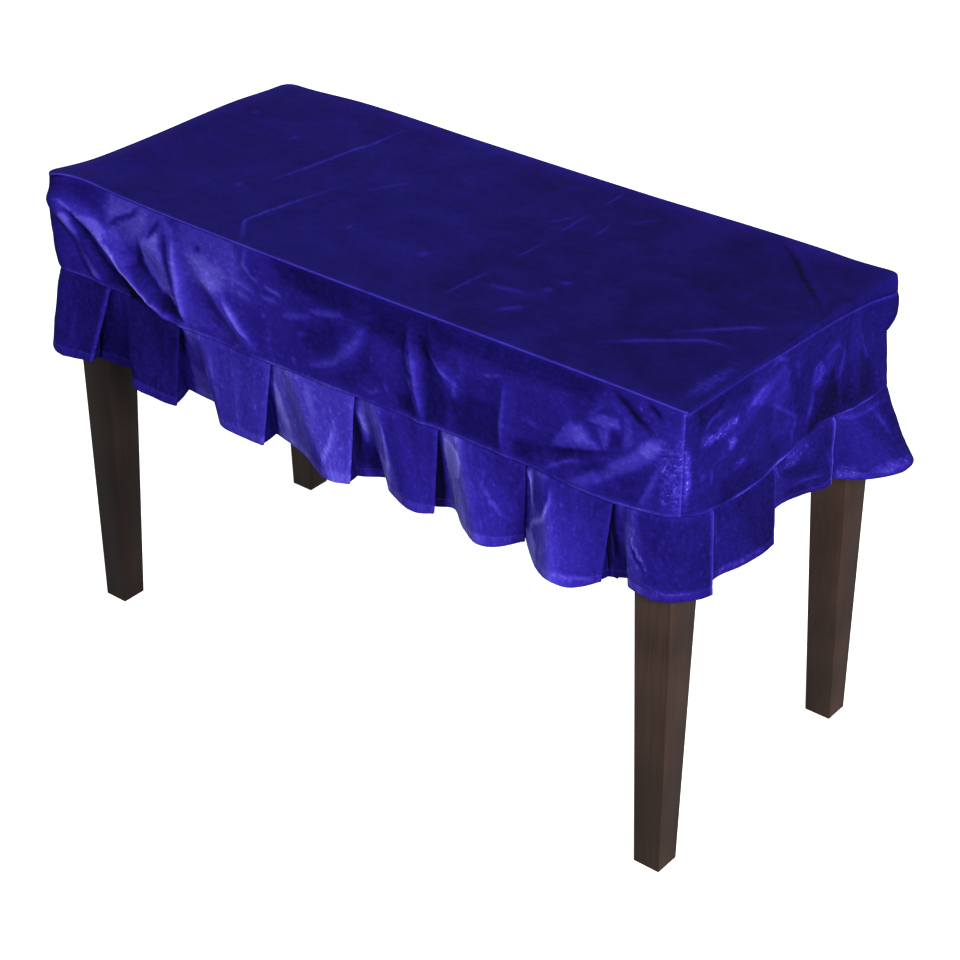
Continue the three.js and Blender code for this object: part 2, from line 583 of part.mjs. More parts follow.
function rail(length, alongX, sign) {
  const { railHeight, railThickness, railSetback, legOuterX, legOuterY } = BENCH;
  const top = BENCH.seatTop - BENCH.seatThickness - COVER.gap;
  const size = alongX ? [length, railThickness] : [railThickness, length];
  const faceDistance = (alongX ? legOuterY : legOuterX) - railSetback - railThickness / 2;
  const geometry = new THREE.BoxGeometry(size[0], size[1], railHeight);
  const centre = alongX ? [0, sign * faceDistance] : [sign * faceDistance, 0];
  return geometry.translate(centre[0], centre[1], top - railHeight / 2);
}

// ---------------------------------------------------------------- assembly

const velvet = () => new THREE.MeshStandardMaterial({ color: 0x261a82, roughness: 0.75, metalness: 0 });
const wood = () => new THREE.MeshStandardMaterial({ color: 0x3a302c, roughness: 0.45, metalness: 0 });

const group = new THREE.Group();
function add(name, geometry, material) {
  const mesh = new THREE.Mesh(geometry, material);
  mesh.name = name;
  group.add(mesh);
}

add('cover_top', topPanel(), velvet());

const PANEL_SPACING = { front: 16, right: 20, back: 34, left: 28 };
for (const side of SIDES) {
  add(`band_${side.name}`, sidePanel(side, PANEL_SPACING[side.name]), velvet());
}
for (const length of RUFFLE_LENGTHS) {
  add(length.name, ruffleLength(length.first, length.count), velvet());
}

add('seat_board', seatBoard(), wood());
const railGap = BENCH.legHead + COVER.gap;
const longRail = 2 * (BENCH.legOuterX - railGap);
const shortRail = 2 * (BENCH.legOuterY - railGap);
add('apron_front', rail(longRail, true, -1), wood());
add('apron_back', rail(longRail, true, 1), wood());
add('apron_left', rail(shortRail, false, -1), wood());
add('apron_right', rail(shortRail, false, 1), wood());
for (const [depthwise, sy] of [['front', -1], ['back', 1]]) {
  for (const [endwise, sx] of [['left', -1], ['right', 1]]) {
    add(`leg_${depthwise}_${endwise}`, leg(sx, sy), wood());
  }
}

export default group;
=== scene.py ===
# %% [markdown]
# # A crushed velvet cover for a piano bench
# The real thing is sewn from thick crushed velvet: a flat top panel, four side bands, and a knife-pleated
# ruffle that hangs from the bands. It is slipped over a plain wooden bench on tapered legs. We start from the
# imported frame, which holds every part's true place and size, and give each part its fine surface.

# %% Load the frame
import json
import math

import bmesh
import bpy
import numpy as np
from mathutils import Matrix, Vector


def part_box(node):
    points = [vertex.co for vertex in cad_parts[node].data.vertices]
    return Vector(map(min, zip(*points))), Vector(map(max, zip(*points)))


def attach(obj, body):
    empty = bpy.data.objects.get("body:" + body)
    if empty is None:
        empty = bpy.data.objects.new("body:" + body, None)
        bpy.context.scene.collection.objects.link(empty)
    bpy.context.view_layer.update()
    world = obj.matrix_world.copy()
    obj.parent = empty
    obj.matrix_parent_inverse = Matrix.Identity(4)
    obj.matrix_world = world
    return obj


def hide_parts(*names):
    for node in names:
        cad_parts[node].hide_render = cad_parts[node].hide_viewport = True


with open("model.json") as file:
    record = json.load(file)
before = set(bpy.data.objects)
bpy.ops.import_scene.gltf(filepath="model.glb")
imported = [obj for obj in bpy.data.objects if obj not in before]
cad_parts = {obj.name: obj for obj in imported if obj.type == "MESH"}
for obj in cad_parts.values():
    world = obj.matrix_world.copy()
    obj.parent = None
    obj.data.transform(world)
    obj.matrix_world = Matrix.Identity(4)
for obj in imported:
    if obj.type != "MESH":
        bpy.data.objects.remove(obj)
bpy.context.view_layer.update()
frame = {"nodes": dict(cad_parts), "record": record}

# %% [markdown]
# ## Sizes
# Cloth is easiest to think about in millimetres, so every size below is in millimetres and is turned to
# metres once, when a mesh is made. The cover's length and width follow from the seat board it is fitted to.

# %% Driving sizes
MM = 0.001
CLOTH = 0.9                 # velvet, ground and pile together
_, SEAT_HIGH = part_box("seat_board")
EASE_ALONG = 4.0            # room between the end of the seat and the outside of the cover
EASE_ACROSS = 3.7           # and between its long edges and the cover
HALF_LENGTH = round(SEAT_HIGH.x / MM + EASE_ALONG, 1)
HALF_WIDTH = round(SEAT_HIGH.y / MM + EASE_ACROSS, 1)
INSET = 0.75                # sewing line, in from the outside of the cover
RUFFLE_DROP = 84.0          # ruffle from its seam to its hem, along the cloth
UNDERLAP = 14.0             # how far a pleat is folded back under its edge at the seam
LAYER_STEP = 2.2            # one folded layer to the next at the seam
HEM_LAYER_STEP = 3.6        # and at the hem, where the folds stand open
HEM_TURN = 8.0              # turned up inside and stitched
SEAM_TURN = 6.0             # turned in at each seam
print(f"cover {2 * HALF_LENGTH:.0f} x {2 * HALF_WIDTH:.0f} mm, ruffle {RUFFLE_DROP:.0f} mm deep")

# %% [markdown]
# ## Going round the cover
# A place on the cover's edge is measured round its plan, anticlockwise from the front left corner. The tables
# group their rows by side, and `at` is taken from the middle of that side. Four sides, four rounded corners.

# %% Sides and corners
SIDES = [
    dict(name="front", half=HALF_LENGTH, along=(1, 0), outward=(0, -1)),
    dict(name="right", half=HALF_WIDTH, along=(0, 1), outward=(1, 0)),
    dict(name="back", half=HALF_LENGTH, along=(-1, 0), outward=(0, 1)),
    dict(name="left", half=HALF_WIDTH, along=(0, -1), outward=(-1, 0)),
]
AROUND = 0.0
for side in SIDES:
    side["start"] = AROUND
    AROUND += 2 * side["half"]
STARTS = np.array([side["start"] for side in SIDES])
HALVES = np.array([side["half"] for side in SIDES])
ALONG = np.array([side["along"] for side in SIDES], float)
OUTWARD = np.array([side["outward"] for side in SIDES], float)

# Radius at the top seam, at the ruffle seam and at the hem; how far the slack cloth puffs out, the share of
# the puff's wave already behind it at the top seam, and the share of the depth by which it has died away.
CORNERS = [
    dict(side="front", top=20, low=16, hem=18, puff=14, start=0.42, reach=0.98),
    dict(side="right", top=6, low=25, hem=28, puff=1, start=0.12, reach=1),
    dict(side="back", top=15, low=20, hem=22, puff=10, start=0.24, reach=0.4),
    dict(side="left", top=17, low=18, hem=22, puff=4, start=0.15, reach=0.95),
]
PUFF_SPREAD = 30.0          # distance from a corner over which its puff dies away
PUFF_FULLNESS = 0.7         # below 1, a puff is fuller than a sine wave
print(f"{AROUND:.0f} mm round the top seam")

# %% [markdown]
# ## The two seams
# The cover isn't quite level: it has slipped, so its seams ride up and down. Each row says how high the top
# seam is at one place, how far the shoulder stands above it, how high the ruffle seam is, and how far that
# seam stands out from plumb. A smooth closed curve runs through the rows.

# %% Seam heights
SEAM_COLUMNS = ("at", "top", "brow", "low", "out")
SEAM_ROWS = dict(
    front=[(-381, 502, 1.0, 401, 11), (-358, 507.5, 1.0, 401, 8), (-310, 503.5, 0.8, 399, 6),
           (-250, 500.5, 0.8, 396, 7), (-212, 499.5, 0.8, 390.5, 9), (-130, 498, 0.8, 388.5, 9),
           (0, 497, 0.8, 389.5, 8), (200, 496.5, 0.8, 390, 7), (310, 496, 0.8, 388.5, 9)],
    right=[(-169.5, 495, 0.8, 394, 8), (-130, 494.5, 1.2, 388, 9), (-75, 494, 1.8, 385.5, 12),
           (-20, 492, 3, 388, 9), (40, 490, 5, 392, 6), (75, 488, 6.5, 389, 8), (120, 484, 10, 384, 9)],
    back=[(-381, 480.5, 16, 382, 8.5), (-300, 488, 11.5, 386, 8), (-100, 491.5, 6, 389, 8),
          (100, 494.5, 4, 390, 9), (260, 497, 3.5, 393, 8)],
    left=[(-169.5, 493, 2.5, 395, 7), (-80, 496, 5, 396, 7), (40, 497, 3, 396, 9),
          (125, 499.5, 1.5, 399, 8)],
)
SEAMS = [dict(zip(SEAM_COLUMNS, row), side=name) for name, rows in SEAM_ROWS.items() for row in rows]


def clamp01(value):
    return np.clip(value, 0.0, 1.0)


def mix(a, b, t):
    return a + (b - a) * t


def ease(t):
    return t * t * (3 - 2 * t)


def bell(distance, width):
    """A smooth bump: 1 at no distance, and almost nothing from twice the width on."""
    return np.exp(-((distance / width) ** 2))


def quarter_turn(share):
    """How far a quarter circle has fallen at a share of its width. It ends just short of plumb."""
    return 1 - np.sqrt(1 - 0.999 * share * share)


def hermite(a, b, slope_a, slope_b, t):
    """Smooth curve from a to b that leaves and arrives with these slopes."""
    return ((2 * t**3 - 3 * t**2 + 1) * a + (t**3 - 2 * t**2 + t) * slope_a
            + (3 * t**2 - 2 * t**3) * b + (t**3 - t**2) * slope_b)


def edge_place(name, at):
    """Place on the cover's edge of a distance from the middle of a side."""
    index = [side["name"] for side in SIDES].index(name)
    return STARTS[index] + HALVES[index] + at


KNOTS = np.array([edge_place(row["side"], row["at"]) for row in SEAMS])


def seam_at(column, s):
    """Smooth closed curve through one column of SEAMS, read at places s."""
    values = np.array([float(row[column]) for row in SEAMS])
    count = len(values)
    place = np.mod(s, AROUND)
    index = np.searchsorted(KNOTS, place, side="right") - 1

    def knot(i):
        turns = np.floor_divide(i, count)
        return KNOTS[i - turns * count] + turns * AROUND, values[i - turns * count]

    (s0, v0), (s1, v1), (s2, v2), (s3, v3) = (knot(index + k) for k in (-1, 0, 1, 2))
    span = s2 - s1
    return hermite(v1, v2, span * (v2 - v0) / (s2 - s0), span * (v3 - v1) / (s3 - s1), (place - s1) / span)


def nearest_corner(s):
    """Index of the corner nearest to each place, and the distance to it along the edge."""
    distance = np.abs(np.mod(s, AROUND)[..., None] - STARTS)
    distance = np.minimum(distance, AROUND - distance)
    index = np.argmin(distance, -1)
    return index, np.take_along_axis(distance, index[..., None], -1)[..., 0]


def corner_value(index, column):
    return np.array([float(row[column]) for row in CORNERS])[index]


def plan_point(s, out, level):
    """Plan position on the rounded outline. Level 0 is the top seam, 1 the ruffle seam and 2 the hem."""
    s, out, level = np.broadcast_arrays(np.asarray(s, float), out, level)
    place = np.mod(s, AROUND)
    side = np.searchsorted(STARTS, place, side="right") - 1
    corner, _ = nearest_corner(place)
    upper = mix(corner_value(corner, "top"), corner_value(corner, "low"), clamp01(level))
    radius = mix(upper, corner_value(corner, "hem"), clamp01(level - 1))
    half = HALVES[side]
    from_middle = place - STARTS[side] - half
    across = HALF_LENGTH + HALF_WIDTH - half
    straight = half - radius
    angle = (np.abs(from_middle) - straight) / radius * (math.pi / 4)
    turned = angle > 0
    bend = radius - INSET + out
    along = np.where(turned, np.sign(from_middle) * (straight + bend * np.sin(angle)), from_middle)
    outward = np.where(turned, across - radius + bend * np.cos(angle), across - INSET + out)
    return along[..., None] * ALONG[side] + outward[..., None] * OUTWARD[side]


for name in SEAM_ROWS:
    middle = float(seam_at("top", np.array([edge_place(name, 0)]))[0])
    print(f"top seam in the middle of the {name}: {middle:.1f} mm up")

# %% [markdown]
# ## Folds as paths
# A fold in cloth is a soft ridge or trough that follows a path. Along it the pile is also pressed over, so it
# catches the light or loses it, and that is painted into its colour: a painted highlight on a ridge, painted
# shade in a trough. One row can say all of that: the path, the half width, how far it stands out (`rise`),
# and how bright it is made, its pile together with painted light and shade, with `crush` where the pile is
# matted into small tufts. Faces of cloth, where the pile lies one way and where light or shade is painted,
# are closed outlines instead, with the width over which their border fades.

# %% Fold helpers
TAPER = 0.3                 # share of a path at each end over which a fold fades in
TIP = 0.2                   # share of a fold's height left at its ends
LATTICE = 64                # lumps each way before a noise repeats
WANDER = ((1.2, 24, 41), (0.9, 6, 43))     # how far folds stray from their path, over what width, and seeds


def fold(path, half, **looks):
    """A table row for a fold along a path of (along, down) places, with its half width."""
    return dict(path=path, half=half, **looks)


def face(outline, soft, **looks):
    """A table row for a face within a closed outline, with the width over which its border fades."""
    return dict(face=outline, soft=soft, **looks)


def near_path(u, v, path):
    """Distance of each point to a path, the share of the path at which it is nearest, and its side of it."""
    best = np.full(np.shape(u), np.inf)
    place = np.full(np.shape(u), 0.5)
    hand = np.zeros(np.shape(u))
    legs = max(1, len(path) - 1)
    for k in range(legs):
        (au, av), (bu, bv) = path[k], path[min(k + 1, len(path) - 1)]
        length2 = (bu - au) ** 2 + (bv - av) ** 2
        t = clamp01(((u - au) * (bu - au) + (v - av) * (bv - av)) / length2) if length2 else 0.5
        distance = np.hypot(u - au - t * (bu - au), v - av - t * (bv - av))
        nearer = distance < best
        best = np.where(nearer, distance, best)
        place = np.where(nearer, (k + t) / legs, place)
        hand = np.where(nearer, np.sign((bu - au) * (v - av) - (bv - av) * (u - au)), hand)
    return best, place, hand


def lattice_noise(u, v, size, seed):
    """Smooth seeded noise from -1 to 1 over cloth coordinates; size is the width of one soft lump."""
    grid = np.random.default_rng(seed).uniform(-1, 1, (LATTICE, LATTICE))
    x, y = np.asarray(u) / size, np.asarray(v) / size
    i, j = np.floor(x).astype(int), np.floor(y).astype(int)
    fx, fy = ease(x - i), ease(y - j)
    i, j = i % (LATTICE - 1), j % (LATTICE - 1)
    low = mix(grid[i, j], grid[i + 1, j], fx)
    high = mix(grid[i, j + 1], grid[i + 1, j + 1], fx)
    return mix(low, high, fy)


def lumps(u, v, rows):
    """Several noises together; each row is a height, the width of one lump and a seed."""
    return sum(height * lattice_noise(u, v, size, seed) for height, size, seed in rows)


def inside(u, v, outline):
    """Whether points lie inside a closed outline."""
    within = np.zeros(np.shape(u), bool)
    for (au, av), (bu, bv) in zip(outline, outline[1:] + outline[:1]):
        crosses = (av > v) != (bv > v)
        within ^= crosses & (u < au + (bu - au) * (v - av) / ((bv - av) or 1))
    return within


def fold_weight(u, v, row):
    """How strongly one row acts at points (u, v), from 0 to 1.

    `lean` makes a fold wide and soft on one side of its path and crisp on the other: above zero it is wide on
    the right-hand side of someone who walks the path.
    """
    if "face" in row:
        distance, _, _ = near_path(u, v, row["face"] + row["face"][:1])
        signed = np.where(inside(u, v, row["face"]), distance, -distance)
        return ease(clamp01(0.5 + signed / (2 * row["soft"])))
    distance, place, hand = near_path(u, v, row["path"])
    fade = mix(TIP, 1, ease(clamp01(np.minimum(place, 1 - place) / TAPER)))
    return bell(distance, row["half"] * (1 + hand * row.get("lean", 0))) * fade


def folds_at(u, v, rows):
    """Summed relief, pile with its painted light and shade, and crush of the fold rows at points (u, v)."""
    total = dict(rise=np.zeros(np.shape(u)), nap=np.zeros(np.shape(u)), crush=np.zeros(np.shape(u)))
    for amount, size, seed in WANDER:
        stray_u, stray_v = (amount * lattice_noise(u, v, size, seed + k) for k in (0, 1))
        u, v = u + stray_u, v + stray_v
    for row in rows:
        weight = fold_weight(u, v, row)
        for name in total:
            total[name] += row.get(name, 0) * weight
    return total


# %% [markdown]
# ## The folds of the side bands
# Broad folds first: these are the ones that give the bands their outline. Each runs from one (at, depth) to
# another, with the depth taken below the top seam, and then has its rise and its half width. After them come
# the fine creases, each with the way its pile lies and its painted light and shade: painted highlights on the
# ridges, painted shade in the troughs.

# %% Broad folds
BROAD_FOLDS = dict(
    front=[((-374, 22), (-318, 94), 7, 8), ((-356, 52), (-342, 92), -5, 9),
           ((-368, 20), (-228, 104), 9, 9), ((-336, 50), (-290, 92), -7, 11),
           ((-290, 40), (-222, 82), -5, 12), ((-221, 18), (-204, 104), 6, 8),
           ((-195, 60), (-150, 100), -5, 16), ((-174, 50), (-110, 103), 5, 8), ((30, 12), (-6, 92), 4, 22),
           ((84, 14), (98, 104), 5, 8), ((106, 22), (140, 70), 3, 8), ((192, 40), (194, 100), 3, 10),
           ((230, 86), (320, 80), -4, 10), ((272, 98), (362, 30), 5, 13), ((312, 4), (350, 30), -2, 8)],
    right=[((-120, 60), (-20, 8), 4, 10), ((-40, 90), (10, 40), -4, 14), ((20, 92), (70, 20), 4, 9),
           ((104, 20), (96, 90), 4, 8)],
    back=[((-330, 20), (-250, 96), 6, 11), ((-180, 12), (-160, 100), 4, 12), ((-20, 30), (50, 90), 4, 14),
          ((150, 16), (132, 98), 5, 10), ((340, 24), (240, 92), 6, 11)],
    left=[((-110, 20), (-60, 96), 5, 10), ((10, 24), (24, 96), 4, 10), ((140, 18), (80, 90), 6, 10)],
)
FOLD_ENDS = 0.45            # share of a broad fold's height left at its ends
FOLD_START = 0.25           # share of the band's depth over which the folds come in
FLARE = 1.3                 # above 1, a band leaves plumb slowly at first
PAINTED_LIGHT_PER_MM = 0.022       # painted light and shade: the colour brightens by this much for each millimetre a broad fold stands out, and darkens where one sinks


def fold_relief(s, depth):
    """How far the broad folds stand out at places s and depths below the top seam."""
    relief = 0.0
    for name, rows in BROAD_FOLDS.items():
        for (at, down), (to_at, to_down), rise, half in rows:
            ds = np.mod(s - edge_place(name, at) + AROUND / 2, AROUND) - AROUND / 2
            distance, place, _ = near_path(ds, depth, [(0, down), (to_at - at, to_down)])
            relief = relief + rise * bell(distance, half) * mix(FOLD_ENDS, 1, np.sin(math.pi * place))
    return relief


print(sum(len(rows) for rows in BROAD_FOLDS.values()), "broad folds")

# %% Fine creases of the front band
FRONT_CREASES = [
    # broad faces, lighter or darker than the cloth around them
    face([(-330, -3), (-118, -3), (-110, 107), (-330, 107)], 16, nap=0.1),
    face([(-60, -3), (340, -3), (340, 107), (-60, 107)], 16, nap=-0.06),
    face([(-302, -3), (-262, -3), (-254, 10), (-262, 45), (-290, 50), (-312, 44)], 7, nap=0.27),
    face([(-258, -3), (-225, -3), (-218, 12), (-236, 28), (-256, 34)], 7, nap=0.2),
    face([(-206, -3), (-138, -3), (-126, 24), (-138, 48), (-172, 64), (-204, 56)], 8, nap=0.2),
    face([(-197, 30), (-176, 27), (-152, 31), (-146, 46), (-160, 58), (-182, 56)], 8, nap=0.2),
    face([(-208, 62), (-192, 60), (-188, 101), (-199, 103)], 4, nap=0.08),
    face([(-136, 30), (-112, 32), (-98, 50), (-104, 60), (-138, 52)], 6, nap=0.12),
    face([(-90, -3), (128, -3), (126, 36), (60, 42), (10, 26), (-70, 20)], 7, nap=-0.2),
    face([(125, -3), (300, -3), (285, 20), (200, 22), (130, 20)], 6, nap=-0.15),
    face([(-381, -3), (-306, -3), (-318, 20), (-350, 24), (-381, 40)], 8, nap=-0.14),
    # the fan of folds hanging from the front left corner
    face([(-376, 42), (-364, 42), (-356, 64), (-345, 88), (-330, 100), (-364, 101)], 4, rise=-1.0,
         nap=-0.04),
    face([(-363, 37), (-355, 36), (-344, 60), (-330, 82), (-316, 98), (-331, 98), (-346, 84), (-357, 62)],
         2.2, rise=1.0, nap=0.38),
    face([(-357, 33), (-348, 34), (-334, 57), (-316, 77), (-292, 90), (-270, 102), (-316, 102), (-332, 85),
         (-346, 62)], 3, rise=-1.6, nap=-0.25),
    face([(-346, 34), (-324, 34), (-311, 41), (-303, 54), (-279, 75), (-290, 87), (-312, 77), (-330, 61)], 2,
         rise=0.8, nap=0.3),
    face([(-294, 89), (-278, 79), (-250, 95), (-234, 103), (-276, 103)], 3, nap=-0.55),
    fold([(-366, 21), (-345, 33)], 1.6, rise=0.6, nap=0.3),
    fold([(-305, 53), (-279, 75), (-263, 84), (-247, 94), (-222, 102)], 1.7, lean=0.4, rise=1.0, nap=0.55),
    fold([(-322, 49), (-306, 68)], 1.8, rise=-0.3, nap=-0.12),
    fold([(-313, 44), (-304, 55)], 1.6, rise=-0.8, nap=-0.3),
    fold([(-313, 41), (-296, 25), (-272, 11), (-260, 0)], 2.6, lean=0.4, rise=-1.0, nap=-0.4),
    fold([(-255, 34), (-243, 19), (-230, 7)], 2.6, rise=-1.0, nap=-0.4),
    # the dome and the wedge of shadow under it
    face([(-264, 44), (-256, 31), (-237, 24), (-231, 42), (-227, 60), (-217, 73), (-211, 83), (-234, 81),
         (-250, 72), (-260, 60)], 4.5, rise=1.2, nap=0.4),
    face([(-268, 41), (-264, 44), (-260, 60), (-250, 72), (-234, 82), (-208, 86), (-201, 101), (-222, 101),
         (-246, 92), (-266, 80), (-278, 68), (-269, 60)], 3, rise=-2.2, nap=-0.3),
    face([(-242, 86), (-207, 90), (-203, 100), (-226, 99)], 3, nap=-0.12),
    face([(-231, 18), (-225, 18), (-222, 42), (-212, 62), (-213, 68), (-222, 60), (-230, 46)], 3, rise=-0.7,
         nap=-0.12),
    fold([(-220, 12), (-214, 36), (-209, 62), (-203, 88), (-198, 103)], 2.0, lean=-0.3, rise=1.0, nap=0.24),
    fold([(-217, 24), (-213, 48)], 3.5, nap=0.08),
    fold([(-226, 74), (-208, 71)], 2.2, rise=0.5, nap=0.2),
    fold([(-222, 82), (-206, 78)], 2.2, rise=0.5, nap=0.16),
    # the broad face in the middle left
    face([(-189, 17), (-180, 18), (-179, 26), (-187, 26)], 2, rise=-0.8, nap=-0.26),
    face([(-190, 66), (-168, 62), (-146, 72), (-132, 84), (-118, 101), (-186, 102)], 8, rise=-0.4, nap=0.12),
    face([(-148, 74), (-130, 82), (-110, 100), (-140, 101)], 5, rise=-0.7, nap=-0.06),
    fold([(-152, 56), (-141, 68), (-124, 86), (-106, 98)], 2.2, lean=-0.4, rise=1.1, nap=0.42),
    fold([(-118, -2), (-123, 19), (-112, 26), (-98, 34)], 1.8, rise=0.7, nap=0.3),
    fold([(-136, 37), (-122, 39), (-108, 43)], 2.4, rise=0.6, nap=0.22),
    fold([(-134, 48), (-112, 52)], 3, rise=0.4, nap=0.18),
    fold([(-97, 30), (-84, 33), (-70, 37)], 2.2, rise=0.6, nap=0.36),
    fold([(-100, 43), (-74, 43)], 2.2, rise=0.6, nap=0.28),
    fold([(-99, 62), (-92, 60)], 3, nap=0.22),
    fold([(-92, 66), (-88, 84), (-84, 100)], 4, nap=0.12),
    face([(-40, 37), (-22, 31), (2, 26), (6, 30), (-10, 36), (-30, 41)], 2.6, rise=0.6, nap=0.26),
    face([(-76, 55), (-66, 48), (-42, 42), (-34, 45), (-44, 51), (-62, 54)], 2.8, rise=0.6, nap=0.22),
    # the crescent fold and what hangs beside it
    fold([(-66, 104), (-36, 93), (-8, 81), (8, 68), (22, 54), (31, 36), (36, 20)], 4.6, lean=-0.35, rise=1.2,
         nap=0.2),
    fold([(-22, 84), (2, 76)], 3, nap=0.1),
    face([(12, 56), (22, 46), (27, 48), (18, 60)], 3, nap=0.07),
    face([(-42, 60), (-20, 50), (4, 50), (-4, 66), (-24, 76), (-44, 74)], 7, rise=-1, nap=-0.14),
    face([(-20, 42), (14, 34), (12, 46), (-10, 50)], 5, nap=-0.12),
    face([(8, 82), (34, 52), (40, 30), (34, 76), (16, 100), (-14, 101)], 6, rise=-1, nap=-0.14),
    face([(42, 34), (66, 32), (70, 96), (46, 74)], 7, nap=0.06),
    fold([(-58, 88), (-54, 98)], 2, rise=0.5, nap=0.25),
    fold([(-52, 66), (-44, 65)], 2, rise=0.4, nap=0.2),
    fold([(55, 80), (60, 89)], 2.4, rise=0.5, nap=0.25),
    fold([(34, 96), (44, 93), (49, 87)], 2, rise=0.6, nap=0.28),
    # the ridges right of the middle
    fold([(84, 14), (88, 38), (93, 62), (98, 84), (102, 104)], 2.2, lean=-0.45, rise=1.1, nap=0.24),
    face([(84, 20), (90, 52), (90, 58), (82, 54), (79, 40), (80, 30)], 2.4, rise=0.8, nap=0.2),
    face([(81, 64), (90, 66), (93, 74), (86, 71)], 2, rise=0.6, nap=0.26),
    face([(70, 86), (88, 82), (97, 99), (74, 99)], 4, rise=-0.8, nap=-0.22),
    face([(98, 20), (106, 22), (114, 60), (128, 72), (128, 101), (104, 101)], 5, rise=-0.6, nap=-0.2),
    fold([(101, 25), (112, 37), (122, 46), (138, 55)], 1.7, rise=0.6, nap=0.36),
    fold([(136, 50), (139, 72)], 3, rise=0.5, nap=0.18),
    fold([(143, 22), (144, 62)], 4, rise=0.5, nap=0.13),
    fold([(163, 37), (176, 33), (190, 29)], 2.2, rise=0.6, nap=0.28),
    fold([(208, 64), (220, 62), (236, 64)], 2.2, rise=0.4, nap=0.18),
    fold([(193, 30), (192, 55), (191, 80), (195, 103)], 2.4, rise=0.8, nap=0.22),
    face([(148, 62), (186, 60), (188, 101), (140, 101), (132, 74)], 6, rise=-0.6, nap=-0.15),
    face([(202, 84), (232, 82), (236, 98), (206, 101)], 5, rise=-0.6, nap=-0.22),
    # faces where the cloth was squeezed near the front right corner
    face([(250, 66), (264, 48), (276, 45), (299, 62), (284, 68), (256, 76), (244, 76)], 2.6, rise=0.8,
         nap=0.27),
    face([(262, 62), (267, 50), (277, 48), (288, 60), (276, 64)], 2, nap=0.12),
    face([(282, 39), (294, 30), (313, 27), (317, 35), (302, 40)], 2.2, rise=0.8, nap=0.34),
    face([(292, 43), (304, 40), (306, 50), (301, 59)], 2.2, rise=0.6, nap=0.24),
    fold([(281, 37), (290, 28), (302, 17)], 2, rise=0.6, nap=0.2),
    face([(318, 28), (326, 24), (334, 40), (324, 52)], 3, nap=0.12),
    face([(308, 44), (318, 42), (318, 52), (306, 56)], 3, rise=-0.6, nap=-0.2),
    fold([(236, 104), (250, 93), (266, 84), (284, 79)], 2, lean=0.3, rise=0.9, nap=0.34),
    fold([(226, 88), (232, 98)], 3.5, nap=0.16),
    # the folds that run down into that corner
    fold([(236, 88), (268, 75), (300, 65), (334, 48)], 3.6, rise=-1.3, nap=-0.2),
    fold([(270, 94), (300, 78), (316, 64)], 3.5, rise=-0.8, nap=-0.2),
    face([(262, 103), (290, 84), (312, 68), (330, 52), (346, 34), (362, 27), (360, 42), (342, 60), (322, 78),
         (296, 96), (282, 104)], 3, rise=1.1, nap=0.2),
    face([(340, 42), (350, 32), (361, 29), (360, 40), (346, 50)], 3, nap=0.12),
    face([(300, 101), (340, 66), (352, 58), (346, 80), (338, 101)], 6, rise=-0.8, nap=-0.1),
    fold([(338, 104), (348, 86), (355, 66), (362, 44)], 3.6, lean=0.3, rise=0.8, nap=0.2),
    face([(362, 31), (381, 28), (381, 92), (366, 92), (361, 60)], 4, nap=0.08, crush=0.8),
    fold([(306, 1), (326, 14), (348, 29)], 3, rise=-1.2, nap=-0.32),
    fold([(342, 1), (358, 14)], 2.8, rise=-1.0, nap=-0.3),
    fold([(300, 8), (330, 30)], 3, nap=0.12),
    fold([(330, 4), (352, 24)], 4, nap=0.08, crush=0.5),
]
print(len(FRONT_CREASES), "fine creases on the front band")

